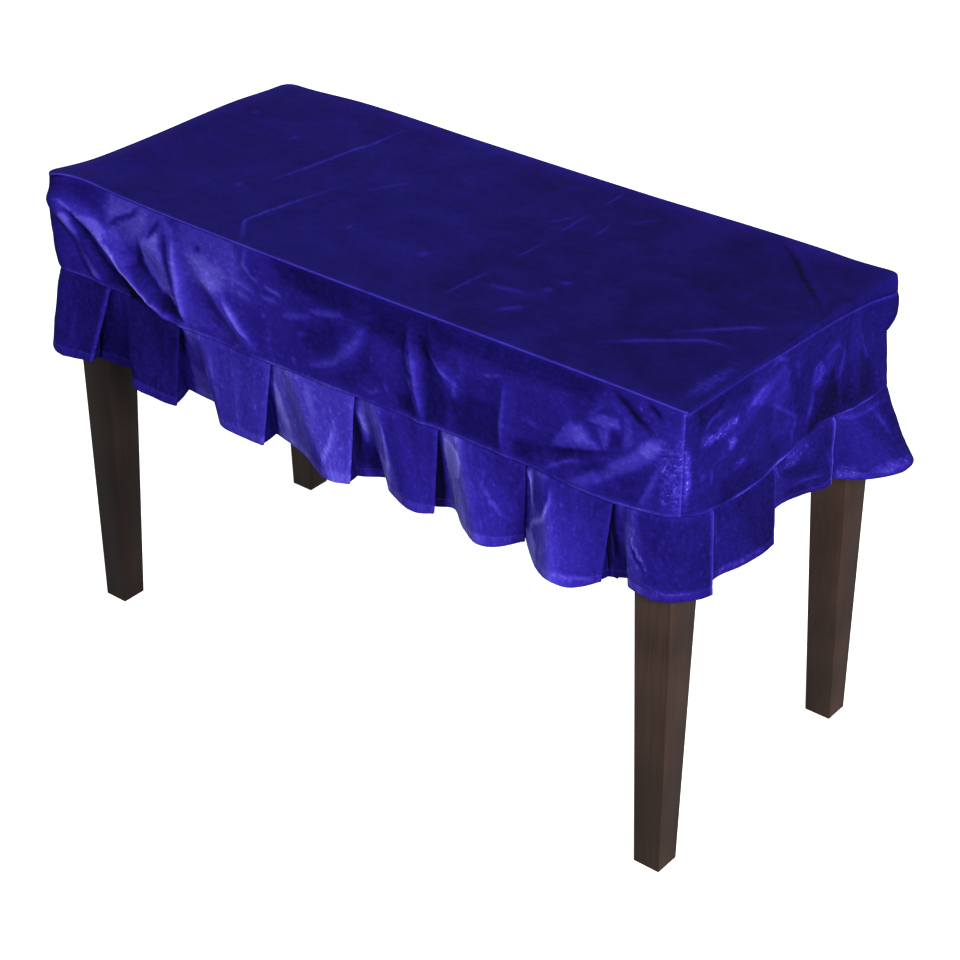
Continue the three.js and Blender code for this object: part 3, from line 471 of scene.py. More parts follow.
# %% Fine creases of the other bands
RIGHT_CREASES = [
    fold([(-167, 26), (-167, 92)], 3.2, nap=0.5, crush=0.9),
    face([(-158, -3), (-60, -3), (-76, 18), (-110, 16), (-150, 28)], 6, nap=-0.14),
    fold([(-145, 27), (-130, 20), (-112, 17)], 1.8, rise=0.8, nap=0.34),
    face([(-148, 38), (-146, 30), (-128, 34), (-112, 30), (-94, 29), (-96, 37), (-112, 42), (-134, 42)], 2.4,
         rise=0.7, nap=0.3, crush=0.8),
    face([(-113, 57), (-110, 48), (-102, 45), (-100, 54), (-108, 60)], 2, nap=0.3, crush=0.6),
    fold([(-152, 62), (-146, 72)], 3.5, nap=0.2, crush=0.6),
    fold([(-136, 64), (-136, 80)], 2, rise=0.5, nap=0.26),
    fold([(-102, 76), (-84, 78)], 2.4, rise=0.4, nap=0.24, crush=0.5),
    face([(-120, 84), (-62, 84), (-56, 107), (-126, 107)], 6, nap=-0.12),
    fold([(-86, 34), (-70, 25), (-50, 18)], 1.5, rise=0.7, nap=0.34),
    fold([(-45, 8), (-28, 3), (-14, 8)], 1.8, rise=0.5, nap=0.3),
    face([(-74, 28), (-50, 18), (-20, 12), (-10, 22), (-10, 38), (-40, 40), (-56, 36)], 3, rise=0.8,
         nap=0.17),
    face([(-40, 38), (-8, 36), (2, 50), (-2, 72), (-16, 82), (-44, 80), (-38, 60)], 6, nap=0.17),
    fold([(-56, 36), (-30, 50), (-6, 66), (0, 72)], 1.8, rise=0.6, nap=0.2),
    fold([(0, 72), (-6, 80), (-12, 96)], 2, rise=0.6, nap=0.26),
    fold([(-2, 48), (-6, 66), (-4, 100)], 1.4, rise=-0.6, nap=-0.12),
    fold([(2, 12), (5, 26), (8, 40)], 3, rise=0.8, nap=0.14),
    face([(30, 36), (40, 32), (46, 38), (38, 50), (28, 54)], 2.4, rise=0.6, nap=0.24, crush=0.4),
    fold([(30, 54), (22, 70), (15, 82)], 1.8, rise=0.6, nap=0.26),
    fold([(46, 36), (56, 27), (66, 25), (80, 34)], 1.6, rise=0.5, nap=0.2),
    fold([(80, 28), (80, 38), (74, 50), (70, 62)], 2.2, rise=0.7, nap=0.26),
    face([(30, 60), (44, 48), (58, 42), (72, 62), (66, 107), (16, 107), (20, 84)], 4, rise=-1.0, nap=-0.2),
    face([(74, 60), (104, 40), (126, 62), (146, 107), (68, 107)], 7, nap=-0.13),
    fold([(105, 22), (112, 36), (120, 54)], 2.2, rise=0.7, nap=0.2),
]
BACK_CREASES = [
    fold([(-352, 18), (-318, 62), (-300, 98)], 3, rise=1.0, nap=0.34),
    fold([(-310, 24), (-268, 58), (-230, 70)], 5, rise=-1.2, nap=-0.24),
    fold([(-205, 30), (-190, 70), (-194, 100)], 2.6, rise=1.0, nap=0.34),
    fold([(-150, 20), (-128, 34), (-96, 36)], 2.4, rise=0.8, nap=0.3),
    fold([(-110, 62), (-60, 88)], 12, nap=-0.18),
    fold([(-62, 26), (-30, 48), (-12, 92)], 4, rise=1.2, nap=0.32),
    fold([(8, 18), (40, 44)], 10, nap=0.18),
    fold([(78, 96), (104, 60), (112, 24)], 3, rise=1.0, nap=0.32),
    fold([(150, 60), (190, 84)], 9, rise=-1.0, nap=-0.2),
    fold([(205, 20), (222, 52), (214, 96)], 2.6, rise=1.0, nap=0.34),
    fold([(270, 40), (300, 30), (330, 38)], 6, rise=0.8, nap=0.26, crush=0.6),
    fold([(352, 22), (330, 60), (322, 98)], 3, rise=1.2, nap=0.34),
    fold([(370, 30), (370, 90)], 9, nap=0.24, crush=0.8),
]
LEFT_CREASES = [
    fold([(-150, 22), (-128, 60), (-118, 98)], 3, rise=1.0, nap=0.32),
    fold([(-92, 18), (-70, 44), (-78, 80)], 5, rise=-1.0, nap=-0.22),
    fold([(-48, 24), (-20, 36)], 2.4, rise=0.8, nap=0.3),
    fold([(-30, 58), (4, 66), (30, 92)], 3, rise=1.0, nap=0.32),
    fold([(44, 20), (60, 48), (58, 94)], 2.6, rise=1.0, nap=0.34),
    fold([(88, 40), (112, 52)], 10, nap=0.18),
    fold([(150, 26), (132, 60), (120, 96)], 3, rise=1.2, nap=0.34),
    fold([(160, 30), (160, 88)], 7, nap=0.2, crush=0.8),
]
CREASES = dict(front=FRONT_CREASES, right=RIGHT_CREASES, back=BACK_CREASES, left=LEFT_CREASES)
CREASE_PILE_AND_SHADE_SHARE = 0.84           # share of the creases' pile and their painted light and shade that is kept
BAND_PILE_AND_SHADE = dict(front=0.34, right=0.18, back=0.36, left=0.36)     # level of the plain cloth between them: its pile together with the painted light and shade of each side
print({name: len(rows) for name, rows in CREASES.items()})

# %% [markdown]
# ## From a grid of points to cloth
# Each panel is a grid: rows run down the cloth and columns go anticlockwise round the cover. The grid is the
# middle of the cloth; a Solidify modifier then gives it its thickness on both sides, with the velvet outside
# and the woven ground inside. The map `Cloth` is in metres along the cloth, so that a pattern keeps its size.

# %% Cloth helpers
MATERIALS = {}


def grid_faces(rows, columns):
    """Quads of a grid, turned so that they face outwards."""
    j, i = np.meshgrid(np.arange(rows - 1), np.arange(columns - 1), indexing="ij")
    first = (j * columns + i).ravel()
    return np.stack([first, first + columns, first + columns + 1, first + 1], -1)


def new_object(name, data):
    """A new object of the scene, at the origin."""
    obj = bpy.data.objects.new(name, data)
    bpy.context.scene.collection.objects.link(obj)
    return obj


def plain_mesh(obj, name):
    """The object's shape with its modifiers worked out, as a new object without modifiers."""
    evaluated = obj.evaluated_get(bpy.context.evaluated_depsgraph_get())
    made = new_object(name, bpy.data.meshes.new_from_object(evaluated))
    made.data.name = name
    made.data.shade_smooth()
    bpy.data.objects.remove(obj)
    return made


def cloth_piece(name, points, cloth_u, cloth_v, nap, crush):
    """A sheet of velvet from a grid of middle points in millimetres."""
    rows, columns = points.shape[:2]
    mesh = bpy.data.meshes.new(name + "_sheet")
    faces = grid_faces(rows, columns)
    mesh.from_pydata((points.reshape(-1, 3) * MM).tolist(), [], faces.tolist())
    layer = mesh.uv_layers.new(name="Cloth")
    uv = np.stack(np.broadcast_arrays(cloth_u, cloth_v), -1).reshape(-1, 2) * MM
    layer.data.foreach_set("uv", uv[faces.ravel()].ravel())
    # each point's pile together with its painted light and shade, and how matted its pile is
    for label, values in (("nap", nap), ("crush", crush)):
        attribute = mesh.attributes.new(label, "FLOAT", "POINT")
        attribute.data.foreach_set("value", np.broadcast_to(values, (rows, columns)).ravel())
    obj = new_object(name + "_sheet", mesh)
    mesh.materials.append(MATERIALS["velvet"])
    mesh.materials.append(MATERIALS["ground"])
    solid = obj.modifiers.new("cloth", "SOLIDIFY")
    solid.thickness = CLOTH * MM
    solid.offset = 0
    solid.use_even_offset = False
    solid.material_offset = 1
    piece = plain_mesh(obj, name)
    print(f"{name}: {len(piece.data.polygons)} faces")
    return piece


def grid_normals(points):
    """Unit normals of a grid, pointing out of the cover."""
    down = np.gradient(points, axis=0)
    along = np.gradient(points, axis=1)
    normal = np.cross(down, along)
    return normal / np.maximum(np.linalg.norm(normal, axis=-1, keepdims=True), 1e-9)


# %% [markdown]
# ## Materials
# Colours are written as sRGB hex values and turned to linear by one function. One helper adds a node with its
# settings and its links, and one ends each material with its shader.

# %% Node helpers
def linear(hex_colour):
    """Linear RGBA of an sRGB hex colour."""
    parts = [int(hex_colour[k:k + 2], 16) / 255 for k in (1, 3, 5)]
    return [p / 12.92 if p <= 0.04045 else ((p + 0.055) / 1.055) ** 2.4 for p in parts] + [1.0]


def add_node(tree, kind, settings=None, **inputs):
    """Add a node; settings are its properties, inputs are values or sockets to link, by name or as i0, i1."""
    node = tree.nodes.new(kind)
    for key, value in (settings or {}).items():
        setattr(node, key, value)
    for key, value in inputs.items():
        socket = node.inputs[int(key[1:])] if key[0] == "i" and key[1:].isdigit() else node.inputs[
            key.replace("_", " ")]
        if isinstance(value, bpy.types.NodeSocket):
            tree.links.new(value, socket)
        else:
            socket.default_value = value
    return node


def principled(tree, **inputs):
    """End a material with a Principled shader that takes these inputs."""
    shader = add_node(tree, "ShaderNodeBsdfPrincipled", None, **inputs)
    add_node(tree, "ShaderNodeOutputMaterial", None, Surface=shader.outputs["BSDF"])


def new_material(name):
    """A material with an empty node tree, and that tree."""
    material = bpy.data.materials.new(name)
    material.use_nodes = True
    material.node_tree.nodes.clear()
    return material, material.node_tree


def ramp_stops(node, stops, painted_light=1.0):
    """Fill a colour ramp with (position, hex colour) stops, each made lighter or darker by a factor that
    paints light and shade.
    """
    elements = node.color_ramp.elements
    while len(elements) < len(stops):
        elements.new(1.0)
    for element, (position, colour) in zip(elements, stops):
        element.position = position
        element.color = [painted_light * part for part in linear(colour)[:3]] + [1.0]


# %% [markdown]
# ### Crushed velvet
# A woven ground with a short dense pile, pressed this way and that by steam rollers. Where the pile leans
# towards the light it shows a deep colour, and where it leans away it shines; that shine is painted into the
# colour, so one cloth holds near-black violet, royal blue and pale lavender. A value on each panel chooses
# between them: the way its pile lies, together with painted highlights on ridges, edges and seams and painted
# shade in troughs, slots and folds. Five noises in real sizes break it up: clouds, crushed streaks and a fine
# grain, and tufts and flecks where it is crushed.

# %% Velvet
# Each row is one noise: the size of its lumps in millimetres, along the seam and down, how it is made, and
# how far it swings the pile. The flecks only brighten it; the others swing it to either side.
PILE_NOISES = dict(
    clouds=dict(size=(55, 55), detail=2.0, roughness=0.5, distortion=0.6, swing=0.08),
    streaks=dict(size=(26, 10), detail=3.0, roughness=0.6, distortion=1.0, swing=0.07),
    grain=dict(size=(1.4, 1.4), detail=2.0, roughness=0.65, distortion=0.0, swing=0.035),
    tufts=dict(size=(6.5, 5), detail=4.0, roughness=0.68, distortion=0.4, swing=0.4),
    flecks=dict(size=(5.5, 4), detail=4.0, roughness=0.62, distortion=0.3, swing=0.4),
)
FLECK_RANGE = (0.57, 0.72)   # only the peaks of this noise become flecks

velvet, tree = new_material("velvet_crushed_polyester_pile")
cloth_map = add_node(tree, "ShaderNodeUVMap", dict(uv_map="Cloth")).outputs["UV"]
# the pile's lie together with the painted light and shade set on each panel
nap = add_node(tree, "ShaderNodeAttribute", dict(attribute_name="nap")).outputs["Fac"]
crush = add_node(tree, "ShaderNodeAttribute", dict(attribute_name="crush")).outputs["Fac"]
swings, noises = {}, {}
for name, row in PILE_NOISES.items():
    scaled = add_node(tree, "ShaderNodeMapping", None, Vector=cloth_map,
                      Scale=(1 / (row["size"][0] * MM), 1 / (row["size"][1] * MM), 1.0)).outputs["Vector"]
    noises[name] = add_node(tree, "ShaderNodeTexNoise", dict(noise_dimensions="2D"), Vector=scaled, Scale=1.0,
                            Detail=row["detail"], Roughness=row["roughness"],
                            Distortion=row["distortion"]).outputs["Fac"]
    if name == "flecks":
        swings[name] = add_node(tree, "ShaderNodeMapRange", None, Value=noises[name], From_Min=FLECK_RANGE[0],
                                From_Max=FLECK_RANGE[1], To_Max=row["swing"]).outputs["Result"]
    else:
        swings[name] = add_node(tree, "ShaderNodeMath", dict(operation="MULTIPLY_ADD"), i0=noises[name],
                                i1=2 * row["swing"], i2=-row["swing"]).outputs[0]
lie_and_shade = nap
for name in ("tufts", "flecks"):
    lie_and_shade = add_node(tree, "ShaderNodeMath", dict(operation="MULTIPLY_ADD"), i0=swings[name], i1=crush,
                   i2=lie_and_shade).outputs[0]
for name in ("clouds", "streaks", "grain"):
    lie_and_shade = add_node(tree, "ShaderNodeMath", dict(operation="ADD"), i0=lie_and_shade, i1=swings[name]).outputs[0]
# the ramp turns it into colour: its near-black end is painted shade, the royal blue middle the dye, and the
# pale lavender end painted sheen
colour = add_node(tree, "ShaderNodeValToRGB", None, Fac=lie_and_shade)
ramp_stops(colour, [(0.0, "#0c082b"), (0.06, "#100a45"), (0.2, "#181160"), (0.4, "#261b83"), (0.6, "#3a2fa4"),
                    (0.8, "#574ec3"), (1.0, "#7a75e0")])
height = add_node(tree, "ShaderNodeMath", dict(operation="MULTIPLY_ADD"), i0=noises["tufts"], i1=crush,
                  i2=noises["grain"]).outputs[0]
bump = add_node(tree, "ShaderNodeBump", None, Height=height, Strength=0.35, Distance=0.8 * MM)
principled(tree, Base_Color=colour.outputs["Color"], Normal=bump.outputs["Normal"], Roughness=0.65,
           Sheen_Weight=0.02, Sheen_Roughness=0.35, Sheen_Tint=linear("#4a40ff"), Specular_IOR_Level=0.02)
MATERIALS["velvet"] = velvet
print("velvet:", {name: row["size"] for name, row in PILE_NOISES.items()})

# %% [markdown]
# ### The back of the velvet
# Inside the cover only the woven ground shows: a plain matt weave in the same dye, without any pile.

# %% Woven ground
THREAD = 0.5 * MM           # real threads are finer, drawn this coarse so that they show at all

ground, tree = new_material("velvet_woven_ground")
cloth_map = add_node(tree, "ShaderNodeUVMap", dict(uv_map="Cloth")).outputs["UV"]
warp, weft = (add_node(tree, "ShaderNodeTexWave", dict(bands_direction=way), Vector=cloth_map,
                       Scale=math.pi / (10 * THREAD)).outputs["Fac"] for way in "XY")
weave = add_node(tree, "ShaderNodeMath", dict(operation="MULTIPLY"), i0=warp, i1=weft).outputs[0]
shade = add_node(tree, "ShaderNodeValToRGB", None, Fac=weave)
ramp_stops(shade, [(0.0, "#140f45"), (1.0, "#1f1863")])
bump = add_node(tree, "ShaderNodeBump", None, Height=weave, Strength=0.3, Distance=0.2 * MM)
principled(tree, Base_Color=shade.outputs["Color"], Roughness=0.9, Normal=bump.outputs["Normal"],
           Specular_IOR_Level=0.1)
MATERIALS["ground"] = ground

# %% [markdown]
# ### Stained wood
# The bench is a close-grained hardwood under a dark espresso stain and a satin lacquer: the grain only just
# shows as long soft lines, and the lacquer gives a broad soft highlight.

# %% Espresso stained hardwood
GRAIN = 1.6 * MM            # one grain line across
GRAIN_LENGTH = 90 * MM      # and along the board
BROAD_PATCH = 90 * MM       # slow change of the stain from place to place


def stained_wood(name, axis, painted_light=1.0):
    """Stained wood with its grain along an axis, 0 for X, 1 for Y or 2 for Z; a factor makes it lighter or
    darker to paint light and shade.
    """
    material, nodes = new_material("hardwood_espresso_satin_" + name)
    place = add_node(nodes, "ShaderNodeTexCoord").outputs["Object"]
    scale = [1 / GRAIN] * 3
    scale[axis] = 1 / GRAIN_LENGTH
    scaled = add_node(nodes, "ShaderNodeMapping", None, Vector=place, Scale=scale).outputs["Vector"]
    grain = add_node(nodes, "ShaderNodeTexNoise", None, Vector=scaled, Scale=1.0, Detail=3.0,
                     Distortion=0.3).outputs["Fac"]
    broad = add_node(nodes, "ShaderNodeTexNoise", None, Vector=place, Scale=1 / BROAD_PATCH,
                     Detail=1.0).outputs["Fac"]
    both = add_node(nodes, "ShaderNodeMath", dict(operation="MULTIPLY_ADD"), i0=grain, i1=0.45,
                    i2=broad).outputs[0]
    stain = add_node(nodes, "ShaderNodeValToRGB", None, Fac=both)
    ramp_stops(stain, [(0.45, "#2a1e1a"), (0.75, "#392a24"), (1.0, "#46352d")], painted_light)
    rough = add_node(nodes, "ShaderNodeMapRange", None, Value=grain, To_Min=0.34, To_Max=0.5)
    relief = add_node(nodes, "ShaderNodeBump", None, Height=grain, Strength=0.12, Distance=0.15 * MM)
    principled(nodes, Base_Color=stain.outputs["Color"], Roughness=rough.outputs["Result"],
               Normal=relief.outputs["Normal"], Specular_IOR_Level=0.3)
    return material


WOOD = [stained_wood("along_" + "xy"[axis], axis) for axis in (0, 1)]
# each leg's stain is made lighter or darker to paint the light and shade it stands in: painted shade on the
# left legs, painted light on the right ones
LEG_PAINTED_LIGHT = dict(leg_front_left=0.43, leg_front_right=1.15, leg_back_left=0.9, leg_back_right=1.35)
LEG_WOOD = {node: stained_wood(node, 2, painted_light) for node, painted_light in LEG_PAINTED_LIGHT.items()}

# %% [markdown]
# ### Sewing thread
# Polyester thread dyed to the velvet: smooth, so it shines a little more than the pile around it.

# %% Thread
thread, tree = new_material("thread_dyed_polyester")
place = add_node(tree, "ShaderNodeTexCoord").outputs["Object"]
twist = add_node(tree, "ShaderNodeTexNoise", None, Vector=place, Scale=1 / (0.6 * MM)).outputs["Fac"]
dye = add_node(tree, "ShaderNodeValToRGB", None, Fac=twist)
ramp_stops(dye, [(0.3, "#19125c"), (0.7, "#2a2180")])
principled(tree, Base_Color=dye.outputs["Color"], Roughness=0.42)
MATERIALS["thread"] = thread

# %% [markdown]
# ## The top panel
# One flat piece of velvet. Its rim rolls over the seam, and the cloth has long low creases where it was
# folded away. Rows and columns are close together at the rim, where it turns.

# %% Top panel shape
# Creases stand out or sink, and the pile along them is drawn with a painted highlight on each ridge and
# painted shade in each trough; the last three rows make parts of the top darker.
TOP_CREASES = [
    fold([(-8, 118), (-190, -150)], 9, rise=0.5),
    fold([(-16, 46), (-150, -140)], 9, rise=0.5),
    fold([(226, -66), (318, 30)], 9, rise=0.5),
    fold([(318, 118), (352, 20)], 13, rise=-0.8),
    fold([(-182, 145), (-197, 50), (-208, -40)], 1.8, rise=0.45, nap=0.34),
    fold([(-145, -5), (-160, -90), (-162, -125), (-130, -165)], 1.8, rise=0.45, nap=0.34),
    fold([(84, 155), (86, 120)], 1.6, rise=0.3, nap=0.22),
    fold([(87, 95), (88, 40)], 1.6, rise=0.3, nap=0.22),
    fold([(90, 20), (91, -30)], 1.6, rise=0.3, nap=0.2),
    fold([(90, -60), (86, -130)], 1.6, rise=0.3, nap=0.22),
    fold([(80, 80), (65, 50)], 1.6, rise=0.3, nap=0.2),
    fold([(115, 90), (120, 55)], 1.6, rise=0.3, nap=0.2),
    fold([(150, 130), (130, 100)], 1.6, rise=0.3, nap=0.2),
    fold([(-120, 0), (-95, 45)], 1.6, rise=0.3, nap=0.2),
    fold([(-341, 75), (-335, 75)], 4, rise=0.3, nap=0.24),
    fold([(-268, 55), (-262, 56)], 4, rise=0.3, nap=0.24),
    fold([(-78, -72), (-72, -72)], 5, rise=0.3, nap=0.22),
    fold([(-232, -68), (-224, -67)], 4, rise=0.3, nap=0.22),
    fold([(155, -42), (165, -38)], 4, rise=0.3, nap=0.22),
    fold([(150, -61), (160, -59)], 4, rise=0.3, nap=0.2),
    fold([(15, -75), (25, -75)], 5, rise=0.3, nap=0.2),
    fold([(104, -86), (146, -79)], 4, rise=0.3, nap=0.2),
    fold([(143, -120), (160, -100)], 4, rise=0.4, nap=0.26),
    fold([(250, 165), (300, 128), (335, 92), (375, 55)], 2.2, rise=-0.6, nap=-0.14),
    fold([(258, 168), (308, 132), (343, 96), (378, 60)], 5, lean=-0.3, nap=0.05),
    fold([(290, -60), (335, -10), (350, 0)], 2.2, rise=0.5, nap=0.34),
    fold([(250, -115), (275, -90), (320, -55), (350, -47)], 2.2, rise=0.5, nap=0.36),
    fold([(365, -148), (366, -74)], 7, rise=0.3, nap=0.2, crush=0.7),
    face([(30, -168), (381, -168), (381, 168), (30, 168)], 70, nap=-0.07),
    face([(230, -168), (381, -168), (381, 168), (250, 168)], 50, nap=-0.04),
    fold([(-40, 128), (40, 128)], 34, nap=-0.06),
]
RIM_STEPS = [0, 0.15, 0.4, 0.9, 1.8, 3.0, 4.2, 5.5]  # grid lines in from the seam
TOP_SPACING = (2.1, 3.1)    # between columns and between rows
SHOULDER = (0.9, 0.45)      # width of the rounded shoulder, and how much it grows with the shoulder's height
CROWN = 1.6                 # how far the middle of the top swells up
SETTLED = 494.3             # height at which the slack cloth lies on the seat
SETTLED_SHARE = 0.8         # how far the middle has sunk from the height of its seams to that height
SETTLE_REACH = 90.0         # distance from the rim over which it sinks
SLACK_REACH = 45.0          # distance from the rim over which the top moves out with the bands
RIM_LIP = (2.2, 1.6, 0.5)   # the hidden seam allowance lifts the rim: place, width and height
RELIEF_START = 12.0         # distance from the rim over which creases and lumps come in
TOP_LUMPS = [(0.35, 46, 11), (0.12, 13, 12)]
TOP_PLACE = 900             # where the middle of the top lies in those noises
TOP_PILE_AND_SHADE = 0.19              # level between the creases: the pile together with the painted light and shade of the top
TOP_CRUSH = 0.1             # and how matted it is
FRONT_RIM_HIGHLIGHT = (1.1, 0.9, 0.46)     # painted highlight along the front seam: place, width and brightness
FAR_RIM = (16, 0.1)         # a broad brightening towards the back and left seams: width and amount


def panel_out(s, level):
    """Outward distance of the side bands' broad shape; level is 0 at the top seam and 1 at the ruffle's."""
    s, level = np.broadcast_arrays(np.asarray(s, float), np.asarray(level, float))
    depth = level * (seam_at("top", s) - seam_at("low", s))
    corner, distance = nearest_corner(s)
    share = clamp01(level / corner_value(corner, "reach"))
    wave = clamp01(np.sin(math.pi * mix(corner_value(corner, "start"), 1, share)))
    puff = corner_value(corner, "puff") * wave**PUFF_FULLNESS * bell(distance, PUFF_SPREAD)
    folds = fold_relief(s, depth) * clamp01(level / FOLD_START)
    return np.maximum(0, seam_at("out", s) * level**FLARE + puff + folds)


def inset_lines(half, spacing):
    """Grid lines from -half to half, close together at both ends."""
    firm = half - RIM_STEPS[-1]
    count = round(2 * firm / spacing)
    steps = np.array(RIM_STEPS)
    return np.concatenate([-half + steps, np.linspace(-firm, firm, count + 1)[1:-1], (half - steps)[::-1]])


def shoulder(s):
    """Height of the shoulder above the top seam."""
    return seam_at("top", s) + seam_at("brow", s)


def top_height(x, y, half_x, half_y):
    """Height of the middle of the cloth of the top panel."""
    u, v = (x / half_x + 1) / 2, (y / half_y + 1) / 2
    front, right = edge_place("front", x), edge_place("right", y)
    back, left = edge_place("back", -x), edge_place("left", -y)
    c = shoulder(STARTS)
    edges = (mix(shoulder(front), shoulder(back), v) + mix(shoulder(left), shoulder(right), u)
             - mix(mix(c[0], c[1], u), mix(c[3], c[2], u), v))
    in_x, in_y = half_x - np.abs(x), half_y - np.abs(y)
    distance = np.minimum(in_x, in_y)
    near = np.where(in_x < in_y, np.where(x < 0, left, right), np.where(y < 0, front, back))
    settle = ease(clamp01(distance / SETTLE_REACH))
    z = mix(edges, SETTLED, SETTLED_SHARE * settle) + CROWN * settle
    brow = seam_at("brow", near)
    short = 1 - clamp01(distance / (SHOULDER[0] + SHOULDER[1] * brow))
    return z - brow * quarter_turn(short) - INSET


def top_panel():
    """The top panel: its grid, drawn in to the rounded corners and out to the slack bands, and its pile with
    its painted light and shade.
    """
    half_x, half_y = HALF_LENGTH - INSET, HALF_WIDTH - INSET
    x, y = np.meshgrid(inset_lines(half_x, TOP_SPACING[0]), inset_lines(half_y, TOP_SPACING[1])[::-1])
    marks = folds_at(x, y, TOP_CREASES)
    z = top_height(x, y, half_x, half_y)
    edge = np.minimum(half_x - np.abs(x), half_y - np.abs(y))
    relief = marks["rise"] + lumps(x + TOP_PLACE, y + TOP_PLACE, TOP_LUMPS)
    z = z + relief * ease(clamp01(edge / RELIEF_START))
    place, width, height = RIM_LIP
    z += height * bell(edge - place, width)
    # the square corners of the grid are drawn in to the rounded corners of the panel
    quarter = np.where(x < 0, np.where(y < 0, 0, 3), np.where(y < 0, 1, 2))
    radius = corner_value(quarter, "top")
    p = clamp01((np.abs(x) - half_x + radius) / radius)
    q = clamp01((np.abs(y) - half_y + radius) / radius)
    px = np.sign(x) * (np.minimum(np.abs(x), half_x - radius) + radius * p * np.sqrt(1 - q * q / 2))
    py = np.sign(y) * (np.minimum(np.abs(y), half_y - radius) + radius * q * np.sqrt(1 - p * p / 2))
    # near a corner the rim moves out with the slack bands below it
    end_place = np.where(x < 0, edge_place("left", -y), edge_place("right", y))
    long_place = np.where(y < 0, edge_place("front", x), edge_place("back", -x))
    loose_x = 1 - ease(clamp01((half_x - np.abs(x)) / SLACK_REACH))
    loose_y = 1 - ease(clamp01((half_y - np.abs(y)) / SLACK_REACH))
    px += np.sign(x) * panel_out(end_place, 0.0) * loose_x * np.sqrt(1 - q * q / 2)
    py += np.sign(y) * panel_out(long_place, 0.0) * loose_y * np.sqrt(1 - p * p / 2)
    # a painted highlight along the front seam
    place, width, bright = FRONT_RIM_HIGHLIGHT
    nap = TOP_PILE_AND_SHADE + marks["nap"] + bright * bell(half_y + y - place, width)
    width, bright = FAR_RIM
    nap += bright * (bell(half_y - y, width) + bell(half_x + x, width))
    points = np.stack([px, py, z], -1)
    return cloth_piece("top_panel", points, x + HALF_LENGTH, HALF_WIDTH - y, nap, TOP_CRUSH + marks["crush"])


top = top_panel()

# %% [markdown]
# ## The side bands
# Each band is a strip about a hand's breadth deep between its two seams. At both seams the cloth rolls in and
# the seam allowance lies hidden inside, which is what makes a seam read as a fine groove instead of a drawn
# line. Just outside each groove the cloth catches the light, which is a painted highlight in its colour.

# %% Side bands
BAND_SPACING = dict(front=1.6, right=1.7, back=2.4, left=2.2)   # between columns
BAND_ROWS = 60              # between the close rows at the two seams
END_STEPS = np.array([0.1, 0.4, 1.0, 1.8, 2.8])                 # columns in from a corner seam
LEVEL_STEPS = np.array([0.0, 0.006, 0.014, 0.024, 0.04])        # rows in from a seam, as shares of the depth
BAND_START = 0.08           # share of the depth over which creases and lumps come in
BAND_LUMPS = [(0.45, 21, 21), (0.22, 8, 22)]
BAND_TUFTS = [(0.25, 4.2, 23)]                                  # where the cloth is crushed
BAND_CRUSH = 0.3            # how matted the pile is between the creases
BAND_MAP = 400              # where the bands lie on the cloth's pattern
RUFFLE_SEAM_HIGHLIGHT = dict(front=0.22, right=0.38, back=0.3, left=0.3)     # painted highlight along the ruffle's seam
CORNER_SEAM_HIGHLIGHT = dict(front=0.16, right=0.0, back=0.1, left=0.1)    # and along the corner seam at its right end
TOP_SEAM_HIGHLIGHT = dict(front=0.0, right=0.22, back=0.1, left=0.1)       # and along the top seam, where it lightens the shade under the top panel's edge
HIGHLIGHT_PLACES = dict(seam=(1.9, 1.4), corner=(1.2, 1.4), top=(0.6, 1.6))     # distance of each painted highlight from its seam, and width
HIGHLIGHT_LUMPS = [(1.0, 30, 24)]                                     # the first of them comes and goes
BAND_GAP = 1.0              # from the top seam down to the middle of the band's turned edge
TOP_ROLL = dict(front=0.6, right=0.0, back=0.3, left=0.3)       # depth of the groove at the top seam
RUFFLE_ROLL = 1.3           # and at the ruffle's seam
CORNER_ROLL = 0.6           # and where two bands meet
ROLL_REACH = 2.6            # distance over which a band rolls in to its seam
CORNER_TUCK = [4.0, 1.5]    # how far a band's end is turned in at a corner
TOP_TUCK = 0.5              # how far its top edge dips as it turns in under the top panel
LOW_TUCK = 1.2              # how far its lower edge stands behind the ruffle's seam


def rolled(distance, depth):
    """How far cloth has rolled in to a groove of this depth at a distance from its seam."""
    return depth * quarter_turn(1 - clamp01(distance / ROLL_REACH))


